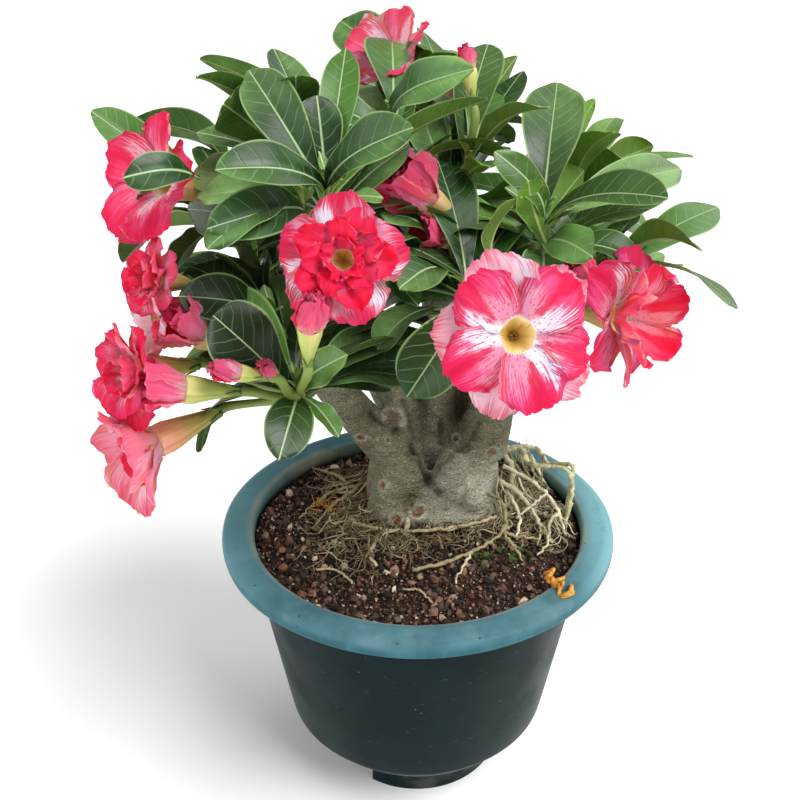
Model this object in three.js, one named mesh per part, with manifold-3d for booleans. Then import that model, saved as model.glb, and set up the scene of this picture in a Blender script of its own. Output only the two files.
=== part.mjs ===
// Potted desert rose (adenium): a round plastic pot, its soil bed, a swollen trunk with branches,
// surface roots, leafy shoots, double flowers and buds.
//
// Millimetres, +Z up. The origin is the middle of the pot's foot, on the ground.
// A bearing is in degrees, seen from above: 0 points along +Y, 90 along +X, 180 along -Y.
// A rise is in degrees above the level.

import * as THREE from 'three';
import { mergeVertices } from 'three/addons/utils/BufferGeometryUtils.js';
import Module from 'manifold-3d';

const wasm = await Module();
wasm.setup();

// ---------------------------------------------------------------- driving dimensions

const GAP = 0.3;                // clearance kept between neighbouring pieces

const POT = {
  height: 190,                  // foot to the top of the rim
  rimRadius: 130,
  rimInner: 111,
  rimDrop: 10,                  // how far the rim's outer lip turns down
  wall: 3,
  floor: 4,
  bodyTop: 112,                 // outer radius under the rim
  bodyWaist: 91,                // outer radius where the bowl starts to round in
  waistHeight: 48,
  footRadius: 60,
  footHeight: 14,
  footGapWidth: 28,             // three gaps let water out under the foot ring
  footGapHeight: 11,
  footGapBearings: [105, 225, 345],
  drainRadius: 6,
  drainCircle: 34,
  drains: 5,
  sides: 28,
};

const SOIL = {
  edge: POT.height - 12,        // soil level at the wall
  mound: POT.height - 5,        // soil level round the trunk
};

const LEAF_THICK = 1.6;

// ---------------------------------------------------------------- solids

const V = (x, y, z) => new THREE.Vector3(x, y, z);
const P = (list) => V(...list);
const rad = THREE.MathUtils.degToRad;
const lerp = THREE.MathUtils.lerp;

/** The unit vector for a bearing and a rise. */
function heading(bearing, rise) {
  const level = Math.cos(rad(rise));
  return V(Math.sin(rad(bearing)) * level, Math.cos(rad(bearing)) * level, Math.sin(rad(rise)));
}

/** A closed geometry as a solid that can be cut and joined. */
function solidOf(geometry) {
  const bare = geometry.clone();
  bare.deleteAttribute('normal');
  bare.deleteAttribute('uv');
  const merged = mergeVertices(bare, 1e-4);
  return new wasm.Manifold(new wasm.Mesh({
    numProp: 3,
    vertProperties: new Float32Array(merged.attributes.position.array),
    triVerts: new Uint32Array(merged.index.array),
  }));
}

/** Moves every vertex of a geometry with a function from point to point. */
function shaped(geometry, move) {
  const spots = geometry.attributes.position;
  for (let i = 0; i < spots.count; i += 1) {
    const to = move(V(spots.getX(i), spots.getY(i), spots.getZ(i)));
    spots.setXYZ(i, to.x, to.y, to.z);
  }
  return geometry;
}

const join = (solids) => solids.reduce((whole, next) => whole.add(next));

/** A round limb through some points, its radius running evenly through the given radii. */
function limb(points, radii, { sides = 8, steps = 5, pad = 0 } = {}) {
  const curve = new THREE.CatmullRomCurve3(points.map(P), false, 'centripetal');
  const frames = curve.computeFrenetFrames(steps, false);
  const spans = radii.length - 1;
  return solidOf(shaped(new THREE.CylinderGeometry(1, 1, 1, sides, steps), (spot) => {
    const t = spot.y + 0.5;
    const step = Math.round(t * steps);
    const span = Math.min(Math.floor(t * spans), spans - 1);
    const radius = lerp(radii[span], radii[span + 1], t * spans - span) + pad;
    const end = (t === 0 ? -pad : 0) + (t === 1 ? pad : 0);
    return curve.getPointAt(t)
      .addScaledVector(frames.tangents[step], end)
      .addScaledVector(frames.normals[step], spot.x * radius)
      .addScaledVector(frames.binormals[step], -spot.z * radius);
  }));
}

/** Where each part of a leaf is widest: a spoon shape, broadest at two thirds of its length. */
const leafHalfWidth = (t) => Math.sin(Math.PI * t ** 1.8) ** 0.8 * 0.5 + 0.02;

/**
 * A leaf blade from its base. Roll turns it about its midrib, from face to the sky, and arch is how
 * high its middle stands above the straight line from base to tip.
 */
function leaf(base, [bearing, rise, length, width, roll, arch], pad = 0) {
  const along = heading(bearing, rise);
  const sky = V(0, 0, 1).addScaledVector(along, -along.z).normalize();
  const up = sky.applyAxisAngle(along, rad(roll));
  const across = along.clone().cross(up);
  const blade = new THREE.SphereGeometry(1, 4, 4).rotateY(Math.PI / 4);
  return solidOf(shaped(blade, (spot) => {
    const t = (1 - spot.y) / 2;
    const pole = Math.hypot(spot.x, spot.z) < 1e-6;
    const half = pole ? 0 : leafHalfWidth(t) * width + pad;
    const thick = pole ? 0 : LEAF_THICK / 2 + pad;
    const end = (t === 0 ? -pad : 0) + (t === 1 ? pad : 0);
    return base.clone()
      .addScaledVector(along, t * length + end)
      .addScaledVector(across, -Math.sign(spot.x) * half)
      .addScaledVector(up, 4 * arch * t * (1 - t) + Math.sign(spot.z) * thick);
  }));
}

/** Turns +Z towards a heading and puts the origin at a place. */
function aimed(geometry, at, direction) {
  const turn = new THREE.Quaternion().setFromUnitVectors(V(0, 0, 1), direction);
  return geometry.applyQuaternion(turn).translate(...at);
}

/** How far the edge of a corolla stands out at an angle: five broad lobes. */
const lobed = (angle) => 0.78 + 0.22 * Math.abs(Math.sin(2.5 * angle)) ** 0.7;

/**
 * A corolla: a tube that opens into five joined lobes. The profile runs up the outside and down the
 * inside of the throat. Cup is the height of the lobes' tips over the throat.
 */
function corolla(flower, pad = 0) {
  const { at, facing, radius, cup, tube, throat = 9, neck = 4, thick = 1.6, double } = flower;
  const t = thick / 2 + pad;
  const profile = [
    [0, -tube - pad], [neck + pad, -tube - pad], [throat + t, -t], [radius + pad, cup - t],
    [radius + pad, cup + t + 2 * pad], [throat - t, 1 + t], [0, -tube * 0.45 + t],
  ].map(([x, y]) => new THREE.Vector2(x, y));
  const bowl = new THREE.LatheGeometry(profile, double ? 15 : 10).rotateX(Math.PI / 2);
  shaped(bowl, (spot) => {
    const out = Math.hypot(spot.x, spot.y);
    const share = THREE.MathUtils.smoothstep(out, throat, radius);
    const scale = lerp(1, lobed(Math.atan2(spot.y, spot.x)), share);
    return V(spot.x * scale, spot.y * scale, spot.z);
  });
  return solidOf(aimed(bowl, at, heading(...facing)));
}

/** A closed or half-open bud: a narrow tube that swells into a pointed head. */
function bud({ at, facing, radius, tube, head }, pad = 0) {
  const profile = [
    [0, -tube - pad], [3 + pad, -tube - pad], [radius * 0.55 + pad, -tube * 0.3],
    [radius + pad, head * 0.4], [radius * 0.6 + pad, head * 0.85], [0, head + pad],
  ].map(([x, y]) => new THREE.Vector2(x, y));
  const shape = new THREE.LatheGeometry(profile, 7).rotateX(Math.PI / 2);
  return solidOf(aimed(shape, at, heading(...facing)));
}

/** The back end of a flower's or bud's tube, where its stalk starts. */
const tubeEnd = ({ at, facing, tube }) => P(at).addScaledVector(heading(...facing), -tube);

/** A stalk from a stem to the back end of a tube, curving in along the tube. */
function stalk(flower, pad = 0) {
  const back = heading(...flower.facing);
  const end = tubeEnd(flower);
  const before = end.clone().addScaledVector(back, -8);
  const into = end.clone().addScaledVector(back, 3);
  const points = [flower.from, before.toArray(), into.toArray()];
  return limb(points, [3, 3.2, 3.6], { sides: 5, steps: 3, pad });
}

// ---------------------------------------------------------------- placing

const group = new THREE.Group();
const placed = [];              // the room that each finished piece keeps free around itself

const boxesMeet = (a, b) => [0, 1, 2].every((k) => a.min[k] < b.max[k] && b.min[k] < a.max[k]);

/** Takes the rooms away from a solid, where they touch it. */
function clearOf(solid, rooms) {
  return rooms.reduce((left, room) => (
    boxesMeet(left.boundingBox(), room.boundingBox()) ? left.subtract(room) : left
  ), solid);
}

const biggest = (solid) => solid.decompose().reduce((a, b) => (a.volume() > b.volume() ? a : b));

/** Adds a solid to the model as a named mesh. */
function addMesh(name, solid, finish) {
  const mesh = solid.getMesh();
  const geometry = new THREE.BufferGeometry();
  geometry.setAttribute('position', new THREE.BufferAttribute(new Float32Array(mesh.vertProperties), 3));
  geometry.setIndex(new THREE.BufferAttribute(new Uint32Array(mesh.triVerts), 1));
  geometry.computeVertexNormals();
  const part = new THREE.Mesh(geometry, new THREE.MeshStandardMaterial(finish));
  part.name = name;
  group.add(part);
}

/**
 * Places a piece: shape(pad) is the piece grown by pad. It is cut back from what already stands, and
 * the room it takes leaves whole whatever is in spared.
 */
function place(name, shape, finish, avoid = [], spared = []) {
  const solid = biggest(clearOf(shape(0), [...placed, ...avoid]));
  addMesh(name, solid, finish);
  placed.push(clearOf(shape(GAP), spared));
}

const FINISH = {
  pot: { color: 0x24474b, roughness: 0.5, metalness: 0 },
  soil: { color: 0x3b2a22, roughness: 1, metalness: 0 },
  bark: { color: 0x7b7a66, roughness: 0.85, metalness: 0 },
  root: { color: 0xb5a884, roughness: 0.9, metalness: 0 },
  leaf: { color: 0x3f6b3c, roughness: 0.4, metalness: 0 },
  petal: { color: 0xd9264f, roughness: 0.6, metalness: 0 },
  inner: { color: 0xc2113a, roughness: 0.6, metalness: 0 },
  bud: { color: 0xcf3048, roughness: 0.6, metalness: 0 },
};

// ---------------------------------------------------------------- pot and soil

/** The section of the pot's bowl and rim, up the outside and down the inside. */
function potSection() {
  const { height, rimRadius, rimInner, rimDrop, wall, floor, bodyTop, bodyWaist, waistHeight } = POT;
  const { footRadius, footHeight } = POT;
  const bowl = [0.3, 0.65].map((t) => [
    lerp(footRadius, bodyWaist, t) + 4 * t * (1 - t),
    lerp(footHeight, waistHeight, t),
  ]);
  return [
    [0, footHeight], [footRadius, footHeight], ...bowl, [bodyWaist, waistHeight], [bodyTop, height - rimDrop],
    [rimRadius - wall, height - rimDrop], [rimRadius, height - rimDrop * 0.4], [rimRadius - 2, height],
    [rimInner + 1, height], [rimInner - 2, height - 4], [bodyTop - wall, height - rimDrop - 2],
    [bodyWaist - wall, waistHeight], [footRadius, footHeight + floor], [0, footHeight + floor],
  ];
}

/** A solid turned round the pot's axis from [radius, height] pairs. */
function turned(section) {
  const outline = section.map(([x, y]) => new THREE.Vector2(x, y));
  return solidOf(new THREE.LatheGeometry(outline, POT.sides).rotateX(Math.PI / 2));
}

/** The ring under the pot that it stands on, cut by the gaps that let water out. */
function footRing() {
  const { footRadius, footHeight, footGapWidth, footGapHeight, footGapBearings, wall } = POT;
  const inner = footRadius - wall;
  const ring = turned([
    [inner, 0], [footRadius, 0], [footRadius, footHeight], [inner, footHeight], [inner, 0],
  ]);
  const gaps = footGapBearings.map((bearing) => {
    const notch = new THREE.BoxGeometry(footGapWidth, 4 * wall, 2 * footGapHeight);
    const spot = heading(bearing, 0).multiplyScalar(footRadius - wall / 2);
    return solidOf(notch.rotateZ(-rad(bearing)).translate(spot.x, spot.y, 0));
  });
  return ring.subtract(join(gaps));
}

const potSolid = (() => {
  const drains = Array.from({ length: POT.drains }, (_, i) => {
    const hole = new THREE.CylinderGeometry(POT.drainRadius, POT.drainRadius, 4 * POT.footHeight, 10);
    const spot = heading(i * 360 / POT.drains, 0).multiplyScalar(POT.drainCircle);
    return solidOf(hole.rotateX(Math.PI / 2).translate(spot.x, spot.y, POT.footHeight));
  });
  return turned(potSection()).subtract(join(drains));
})();

/** The soil bed fills the pot from its floor to just under the rim, mounded round the trunk. */
function soilSolid() {
  const { wall, floor, bodyTop, bodyWaist, waistHeight, footRadius, footHeight } = POT;
  const inner = wall + GAP;
  return turned([
    [0, footHeight + floor + GAP], [footRadius - 1, footHeight + floor + GAP],
    [bodyWaist - inner, waistHeight + 1], [bodyTop - inner - 2, SOIL.edge - 4],
    [bodyTop - inner - 3, SOIL.edge], [70, SOIL.edge + 2], [45, SOIL.mound], [0, SOIL.mound],
  ]);
}

// ---------------------------------------------------------------- trunk and roots

const TRUNK_LIMBS = [
  {
    points: [[-13, 32, 158], [-13, 30, 190], [-14, 26, 222], [-20, 22, 242]],
    radii: [21, 23, 19, 14],
    sides: 10,
  },
  {
    points: [[36, 34, 158], [36, 32, 188], [36, 30, 215], [42, 28, 238]],
    radii: [26, 27, 24, 18],
    sides: 10,
  },
  { points: [[12, 44, 158], [12, 44, 200], [14, 42, 234]], radii: [31, 30, 22], sides: 10 },
  {
    points: [[-16, 24, 225], [-34, 16, 252], [-50, 8, 276], [-62, -6, 300], [-70, -20, 318]],
    radii: [16, 13, 12, 10, 7],
  },
  {
    points: [[-8, 28, 226], [-10, 25, 256], [-15, 20, 284], [-32, 8, 335], [-48, -8, 372]],
    radii: [15, 11, 10, 9, 6],
  },
  {
    points: [[10, 40, 220], [13, 38, 252], [15, 33, 285], [13, 28, 335], [8, 18, 385]],
    radii: [17, 12, 10, 9, 6],
  },
  {
    points: [[42, 30, 226], [48, 26, 250], [55, 20, 278], [66, 8, 325], [68, 0, 368]],
    radii: [20, 14, 11, 9, 6],
  },
  { points: [[14, 52, 220], [14, 62, 268], [13, 66, 318], [10, 68, 372]], radii: [18, 12, 9, 6] },
  { points: [[-2, 52, 222], [-24, 66, 262], [-46, 74, 300]], radii: [18, 12, 7] },
  { points: [[30, 54, 222], [54, 68, 268], [74, 72, 308]], radii: [18, 12, 7] },
];

const trunk = (pad) => join(TRUNK_LIMBS.map(({ points, radii, sides = 7 }) => (
  limb(points, radii, { sides, steps: points.length, pad })
)));

/** Each root mat leaves the trunk as one strand, branches, and runs into the soil. */
const ROOTS = {
  root_mat_left: [
    { points: [[-26, 34, 196], [-44, 34, 192], [-62, 30, 186], [-80, 8, 181]], radius: 2.4 },
    { points: [[-62, 30, 186], [-66, 60, 184], [-58, 84, 180]], radius: 2 },
    { points: [[-44, 34, 192], [-62, 12, 186], [-72, -12, 180]], radius: 2 },
  ],
  root_mat_front: [
    { points: [[-4, 14, 194], [-6, -6, 191], [-8, -22, 189]], radius: 3 },
    { points: [[-50, -2, 186], [-22, -20, 189], [10, -22, 189], [36, -16, 187]], radius: 3 },
    { points: [[-22, -20, 189], [-30, -42, 184], [-22, -60, 181]], radius: 2 },
    { points: [[10, -22, 189], [34, -42, 185], [70, -36, 181]], radius: 2 },
  ],
  root_mat_right: [
    { points: [[50, 34, 203], [66, 34, 200], [84, 20, 190], [96, -6, 180]], radius: 2.4 },
    { points: [[66, 34, 200], [80, 44, 196], [92, 40, 181]], radius: 2.2 },
    { points: [[66, 34, 200], [72, 6, 188], [64, -16, 182]], radius: 2 },
  ],
  root_arch_right: [
    { points: [[50, 46, 204], [64, 56, 208], [76, 66, 212], [90, 60, 206], [96, 46, 181]], radius: 3.2 },
    { points: [[76, 66, 212], [66, 78, 198], [58, 86, 181]], radius: 2.4 },
  ],
};

const rootMat = (strands) => (pad) => join(strands.map(({ points, radius }) => (
  limb(points, [radius, radius * 0.8], { sides: 5, steps: 2 * points.length - 2, pad })
)));

// ---------------------------------------------------------------- leafy shoots

const STEM_RADIUS = [6, 4.5];
const LEAF_ROOT = 3;            // how far below the stem's tip the first leaf grows
const LEAF_STEP = 2;

/**
 * A leafy shoot: a green stem, and leaves as [bearing, rise, length, width, roll, arch]. A leaf
 * with a name is a piece of its own; the others are joined to the stem in one piece.
 */
const SHOOTS = {
  front_left_high: {
    stem: [[-42, 0, 362], [-50, -32, 396], [-48, -55, 423]],
    heroes: { leaf_long_left: [-35, 37, 88, 30, -30, 6], leaf_upright: [2, 35, 70, 26, 5, 4] },
    leaves: [
      [-138, 30, 68, 24, -55, 14], [136, 43, 78, 30, -45, 8], [87, 32, 95, 24, -40, 6],
      [162, 63, 82, 26, -15, 6], [-29, 47, 95, 24, 5, 5],
      [154, 64, 22, 7, 25, 0], [117, 27, 32, 10, 35, 2],
    ],
  },
  front_left_low: {
    stem: [[-60, -2, 296], [-68, -40, 300], [-67, -75, 317]],
    heroes: { leaf_broad_left: [-53, 24, 76, 38, -15, 8], leaf_folded: [-149, 64, 78, 36, 45, 6] },
    leaves: [
      [112, 44, 42, 22, 60, 6], [50, 16, 66, 30, 20, 6],
      [62, 4, 84, 32, 10, 6], [-71, -31, 82, 28, -5, 14],
      [-175, -9, 48, 26, -15, 6], [139, -19, 36, 14, 5, 4], [6, 38, 60, 30, -50, 4],
    ],
  },
  centre: {
    stem: [[14, 28, 330], [20, -4, 342], [27, -50, 363]],
    heroes: { leaf_tall_centre: [-16, 46, 84, 34, 5, 6], leaf_veined: [-140, -23, 66, 38, -40, 6] },
    leaves: [
      [8, 44, 80, 28, -120, 6], [32, 30, 66, 30, 5, 4],
      [-46, -4, 50, 24, -20, 6], [-44, -15, 70, 30, -30, 6],
    ],
  },
  right_high: {
    stem: [[68, 2, 362], [70, -12, 382], [68, -20, 397]],
    heroes: { leaf_tall_right: [13, 47, 90, 36, 0, 4] },
    leaves: [
      [69, 15, 90, 30, 40, 8], [141, 21, 86, 26, 30, 10],
      [-124, 53, 60, 18, -75, 10], [-115, 55, 34, 12, -55, 2],
      [128, 51, 38, 12, -15, 2], [35, 23, 60, 30, -100, 4], [-21, -32, 60, 26, -80, 6],
    ],
  },
  left_middle: {
    stem: [[-44, -4, 366], [-58, -28, 392], [-61, -45, 412]],
    leaves: [
      [-52, 1, 72, 28, -35, 8], [-147, 12, 68, 26, -60, 10],
      [-145, 1, 74, 26, -20, 12], [-62, 16, 76, 26, -30, 5],
      [-57, -7, 88, 28, -70, 10],
    ],
  },
  left_high: {
    stem: [[-40, 2, 358], [-60, 8, 400], [-72, 5, 431]],
    leaves: [
      [-45, 29, 88, 24, 70, 14], [-143, 40, 82, 20, 15, 8],
      [-151, 35, 70, 28, 60, 8], [-33, 20, 60, 24, -20, 4],
      [175, 50, 70, 26, 0, 6], [-15, 29, 86, 28, 145, 8], [15, 28, 80, 28, 0, 6],
    ],
  },
  left_far: {
    stem: [[-68, -14, 314], [-92, 8, 345], [-117, 35, 391]],
    leaves: [
      [-66, 39, 80, 30, 55, 20], [-99, 40, 94, 22, -5, 10],
      [-145, 28, 74, 28, 35, 5], [-80, -22, 82, 30, 40, 12],
      [-151, -19, 60, 26, 75, 8], [-29, 46, 60, 24, 15, 2],
    ],
  },
  left_low: {
    stem: [[-66, -12, 308], [-78, -24, 324], [-84, -30, 341]],
    leaves: [
      [-53, 21, 66, 34, -20, 6], [-140, 32, 70, 28, -50, 8],
      [-73, -14, 72, 22, 0, 6], [-12, 35, 55, 28, -55, 4],
    ],
  },
  right_low: {
    stem: [[66, 8, 322], [92, 6, 340], [115, 5, 359]],
    leaves: [
      [64, 21, 86, 26, 30, 6], [135, 27, 66, 26, -35, 12],
      [141, 6, 90, 22, -35, 12], [40, 35, 50, 20, -15, 4],
      [-156, -10, 36, 16, 0, 4], [-1, 26, 50, 22, 45, 4],
    ],
  },
  centre_high: {
    stem: [[9, 20, 376], [20, 14, 400], [29, 10, 422]],
    leaves: [
      [19, 35, 78, 32, 15, 6], [127, 44, 66, 26, -30, 8],
      [12, 42, 92, 28, -10, 5], [23, 40, 92, 18, -100, 4],
      [35, 39, 80, 24, 0, 4], [153, 32, 36, 22, -35, 4], [-14, 38, 80, 24, 35, 5],
    ],
  },
  crown: {
    stem: [[8, 18, 380], [-6, 10, 420], [-15, 5, 449]],
    leaves: [
      [2, 33, 72, 34, 0, 6], [142, 31, 72, 24, 70, 12],
      [17, 30, 55, 26, -15, 4], [-24, 15, 30, 14, 0, 2],
      [-27, 15, 65, 26, -15, 4],
    ],
  },
  crown_back: {
    stem: [[10, 68, 368], [10, 70, 410], [7, 70, 450]],
    leaves: [
      [-44, 29, 85, 32, -40, 6], [-179, 43, 60, 30, 0, 8],
      [17, 27, 60, 20, 15, 4], [3, 32, 75, 24, 40, 4],
      [25, 21, 70, 24, 5, 4],
    ],
  },
  right_back: {
    stem: [[68, 4, 352], [86, 32, 370], [100, 60, 387]],
    leaves: [
      [34, 40, 66, 28, -5, 6], [140, 39, 52, 28, -50, 8],
      [61, 26, 70, 26, -70, 8], [68, 17, 90, 22, -5, 8],
      [22, 46, 80, 20, -105, 8], [164, 58, 75, 22, 0, 8], [63, -16, 70, 24, 45, 8],
    ],
  },
  back_left: {
    stem: [[-46, 74, 300], [-56, 76, 320], [-60, 75, 340]],
    whorl: { count: 7, first: -30, length: 70 },
  },
  back_right: {
    stem: [[74, 72, 308], [82, 74, 324], [86, 75, 342]],
    whorl: { count: 7, first: 10, length: 70 },
  },
  back_middle: {
    stem: [[12, 66, 345], [14, 76, 375], [14, 80, 402]],
    whorl: { count: 6, first: 0, length: 65 },
  },
  back_far_left: {
    stem: [[-34, 70, 282], [-76, 64, 316], [-108, 56, 346]],
    whorl: { count: 7, first: -80, length: 68 },
  },
  back_high_left: {
    stem: [[10, 68, 360], [-28, 66, 386], [-58, 62, 404]],
    whorl: { count: 6, first: -50, length: 68 },
  },
  back_far_right: {
    stem: [[64, 70, 290], [100, 62, 312], [128, 54, 330]],
    whorl: { count: 7, first: 60, length: 62 },
  },
};

const GOLDEN_ANGLE = 137.5;

/** The leaves of a whorl: the young ones stand up and are short, the old ones hang level. */
const whorlLeaves = ({ count, first, length }) => Array.from({ length: count }, (_, i) => {
  const age = i / (count - 1);
  const bearing = first + i * GOLDEN_ANGLE;
  const reach = length * lerp(0.65, 1, Math.sqrt(age));
  return [bearing, lerp(55, -5, age), reach, lerp(18, 28, age), 0, lerp(2, 10, age)];
});

const shootStem = ({ stem }, pad) => limb(stem, STEM_RADIUS, { sides: 6, steps: 2, pad });

/** Where a leaf grows from its stem: each one a little lower than the last. */
function leafBase(stem, index) {
  const [below, tip] = stem.slice(-2).map(P);
  return tip.addScaledVector(below.sub(tip).normalize(), LEAF_ROOT + index * LEAF_STEP);
}

const shootLeaves = ({ stem, leaves, whorl }, pad) => join(
  (leaves ?? whorlLeaves(whorl)).map((values, i) => leaf(leafBase(stem, i), values, pad)),
);

// ---------------------------------------------------------------- flowers and buds

/** Each flower faces [bearing, rise]; its stalk starts at from. A double one has an inner corolla. */
const FLOWERS = {
  flower_front_right: {
    at: [43, -122, 378], facing: [176, 24], radius: 40, cup: 10, tube: 36,
    from: [27, -50, 360], double: 0.85,
  },
  flower_front_left: {
    at: [-40, -116, 408], facing: [178, 22], radius: 32, cup: 8, tube: 30,
    from: [-49, -44, 408], double: 0.8,
  },
  flower_right: {
    at: [114, -38, 348], facing: [122, 8], radius: 36, cup: 16, tube: 30,
    from: [100, 4, 346], double: 0.8,
  },
  flower_left_high: {
    at: [-142, -16, 420], facing: [-98, 18], radius: 34, cup: 18, tube: 34,
    from: [-104, 22, 370],
  },
  flower_left_middle: {
    at: [-140, -58, 378], facing: [-138, 22], radius: 23, cup: 10, tube: 26,
    from: [-84, -32, 338],
  },
  flower_left_pale: {
    at: [-146, -48, 350], facing: [-105, 0], radius: 18, cup: 8, tube: 24,
    from: [-84, -28, 336],
  },
  flower_left_low: {
    at: [-147, -80, 331], facing: [-130, 18], radius: 30, cup: 12, tube: 36,
    from: [-70, -70, 316], double: 0.8,
  },
  flower_left_lowest: {
    at: [-146, -78, 290], facing: [-130, -8], radius: 30, cup: 14, tube: 40,
    from: [-68, -66, 312],
  },
  flower_crown: {
    at: [-19, 50, 474], facing: [-60, 40], radius: 24, cup: 14, tube: 30,
    from: [8, 68, 436],
  },
  flower_centre_high: {
    at: [5, -6, 408], facing: [-120, 42], radius: 19, cup: 22, tube: 34,
    from: [16, 8, 346],
  },
  flower_back_left: {
    at: [-88, 126, 368], facing: [-30, 15], radius: 30, cup: 10, tube: 32,
    from: [-60, 75, 336],
  },
  flower_back_right: {
    at: [92, 126, 372], facing: [25, 15], radius: 30, cup: 10, tube: 32,
    from: [86, 74, 338],
  },
  flower_back_high: {
    at: [14, 130, 440], facing: [5, 25], radius: 28, cup: 10, tube: 30,
    from: [14, 80, 398],
  },
};

const INNER_RISE = 3;           // how far the inner corolla stands off the outer one

const BUDS = {
  bud_open_front: {
    at: [-53, -126, 386], facing: [160, 60], radius: 10, tube: 34, head: 16,
    from: [-66, -72, 316],
  },
  bud_open_left: {
    at: [-124, -64, 360], facing: [-118, 34], radius: 12, tube: 26, head: 18,
    from: [-84, -34, 334],
  },
  bud_open_low: {
    at: [-124, -98, 333], facing: [-112, 14], radius: 11, tube: 30, head: 20,
    from: [-68, -74, 314],
  },
  bud_crown: {
    at: [28, 22, 476], facing: [-20, 66], radius: 7, tube: 26, head: 12,
    from: [29, 12, 420],
  },
  bud_right: {
    at: [92, -44, 374], facing: [-120, 40], radius: 8, tube: 24, head: 14,
    from: [112, 2, 356],
  },
  bud_centre: {
    at: [12, -22, 390], facing: [-125, 18], radius: 9, tube: 28, head: 14,
    from: [18, 2, 344],
  },
  bud_small_left: {
    at: [-98, -86, 338], facing: [-105, 20], radius: 7, tube: 16, head: 11,
    from: [-68, -76, 316],
  },
  bud_small_right: {
    at: [-78, -94, 340], facing: [-160, 45], radius: 6.5, tube: 14, head: 11,
    from: [-67, -77, 317],
  },
};

/** The inner whorl of a double flower: a smaller corolla standing in the outer one. */
function innerCorolla(flower) {
  const { at, facing, radius, cup, double } = flower;
  const standing = P(at).addScaledVector(heading(...facing), INNER_RISE).toArray();
  return {
    ...flower,
    at: standing,
    radius: radius * double,
    cup: cup + 9,
    tube: 7,
    throat: 8.5,
    neck: 6,
    thick: 1.4,
  };
}

// ---------------------------------------------------------------- assembly

const shoots = Object.entries(SHOOTS);
const stemRooms = shoots.map(([, shoot]) => shootStem(shoot, GAP));
const stems = shoots.map(([, shoot]) => shootStem(shoot, 0));
const spared = [...stems, trunk(0)];

place('pot', () => potSolid, FINISH.pot);
addMesh('pot_foot', footRing(), FINISH.pot);
placed.push(footRing());
place('trunk', trunk, FINISH.bark);
addMesh('soil', biggest(soilSolid().subtract(trunk(GAP))), FINISH.soil);
placed.push(soilSolid().translate([0, 0, GAP]));

for (const [name, strands] of Object.entries(ROOTS)) {
  place(name, rootMat(strands), FINISH.root);
}
for (const [name, flower] of Object.entries(FLOWERS)) {
  const shape = (pad) => corolla(flower, pad).add(stalk(flower, pad));
  place(name, shape, FINISH.petal, stemRooms, spared);
  if (flower.double) {
    const inner = innerCorolla(flower);
    place(`${name}_inner`, (pad) => corolla(inner, pad), FINISH.inner, stemRooms, spared);
  }
}
for (const [name, sprout] of Object.entries(BUDS)) {
  const shape = (pad) => bud(sprout, pad).add(stalk(sprout, pad));
  place(name, shape, FINISH.bud, stemRooms, spared);
}
shoots.forEach(([name, shoot], i) => {
  const otherStems = stemRooms.filter((_, j) => j !== i);
  const shape = (pad) => clearOf(shootLeaves(shoot, pad), otherStems).add(shootStem(shoot, pad));
  place(`shoot_${name}`, shape, FINISH.leaf);
  for (const [hero, values] of Object.entries(shoot.heroes ?? {})) {
    place(hero, (pad) => leaf(leafBase(shoot.stem, 0), values, pad), FINISH.leaf, stemRooms, spared);
  }
});

export default group;
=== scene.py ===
"""Looks of a potted desert rose: pot, soil, roots, trunk, leafy shoots, flowers and buds.

All sizes are in millimetres and become metres when a piece is made. A bearing is in degrees seen
from above, 0 along +Y and 90 along +X, and a rise is in degrees above the level.
"""
import logging
import math
from dataclasses import dataclass, field
from enum import Enum
from typing import Sequence

import bpy
import numpy as np
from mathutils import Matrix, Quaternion, Vector, noise


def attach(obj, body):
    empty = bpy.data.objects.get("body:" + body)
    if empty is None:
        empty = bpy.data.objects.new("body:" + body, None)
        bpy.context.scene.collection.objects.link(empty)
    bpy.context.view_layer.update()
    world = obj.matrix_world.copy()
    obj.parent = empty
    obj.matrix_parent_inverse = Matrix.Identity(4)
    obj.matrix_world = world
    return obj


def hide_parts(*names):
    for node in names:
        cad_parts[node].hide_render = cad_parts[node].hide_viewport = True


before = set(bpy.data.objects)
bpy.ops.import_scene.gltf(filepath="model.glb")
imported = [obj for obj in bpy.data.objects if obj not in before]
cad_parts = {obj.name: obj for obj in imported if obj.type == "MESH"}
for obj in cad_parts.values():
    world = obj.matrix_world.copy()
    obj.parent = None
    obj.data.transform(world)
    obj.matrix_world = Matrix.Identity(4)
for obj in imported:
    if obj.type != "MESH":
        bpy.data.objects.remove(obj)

MM = 0.001
LOG = logging.getLogger("desert_rose")
Rgb = tuple[float, float, float, float]
Colour = tuple[int, int, int]
Triple = Sequence[float]
Rng = np.random.Generator
Material = bpy.types.Material

# Stretches of a curve between two of its given places.
CURVE_STEPS = 12

# A finish number above all that are used.
UNUSED = 99

# A flower's petals, sepals and anthers come in fives.
PARTS = 5
PART_TURN = 360 / PARTS


# ---------------------------------------------------------------- directions and paths


def vec(*values: float) -> np.ndarray:
    """A point or direction as an array."""
    return np.array(values, dtype=float)


def unit(v: np.ndarray) -> np.ndarray:
    """The direction of a vector."""
    return v / np.linalg.norm(v)


def heading(bearing: float, rise: float) -> np.ndarray:
    """The unit vector for a bearing and a rise, in degrees."""
    b, r = math.radians(bearing), math.radians(rise)
    return vec(math.sin(b) * math.cos(r), math.cos(b) * math.cos(r), math.sin(r))


def smoothstep(value: np.ndarray | float, low: float, high: float) -> np.ndarray:
    """0 below low, 1 above high and an even S between them."""
    t = np.clip((np.asarray(value, dtype=float) - low) / (high - low), 0.0, 1.0)
    return t * t * (3.0 - 2.0 * t)


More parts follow.
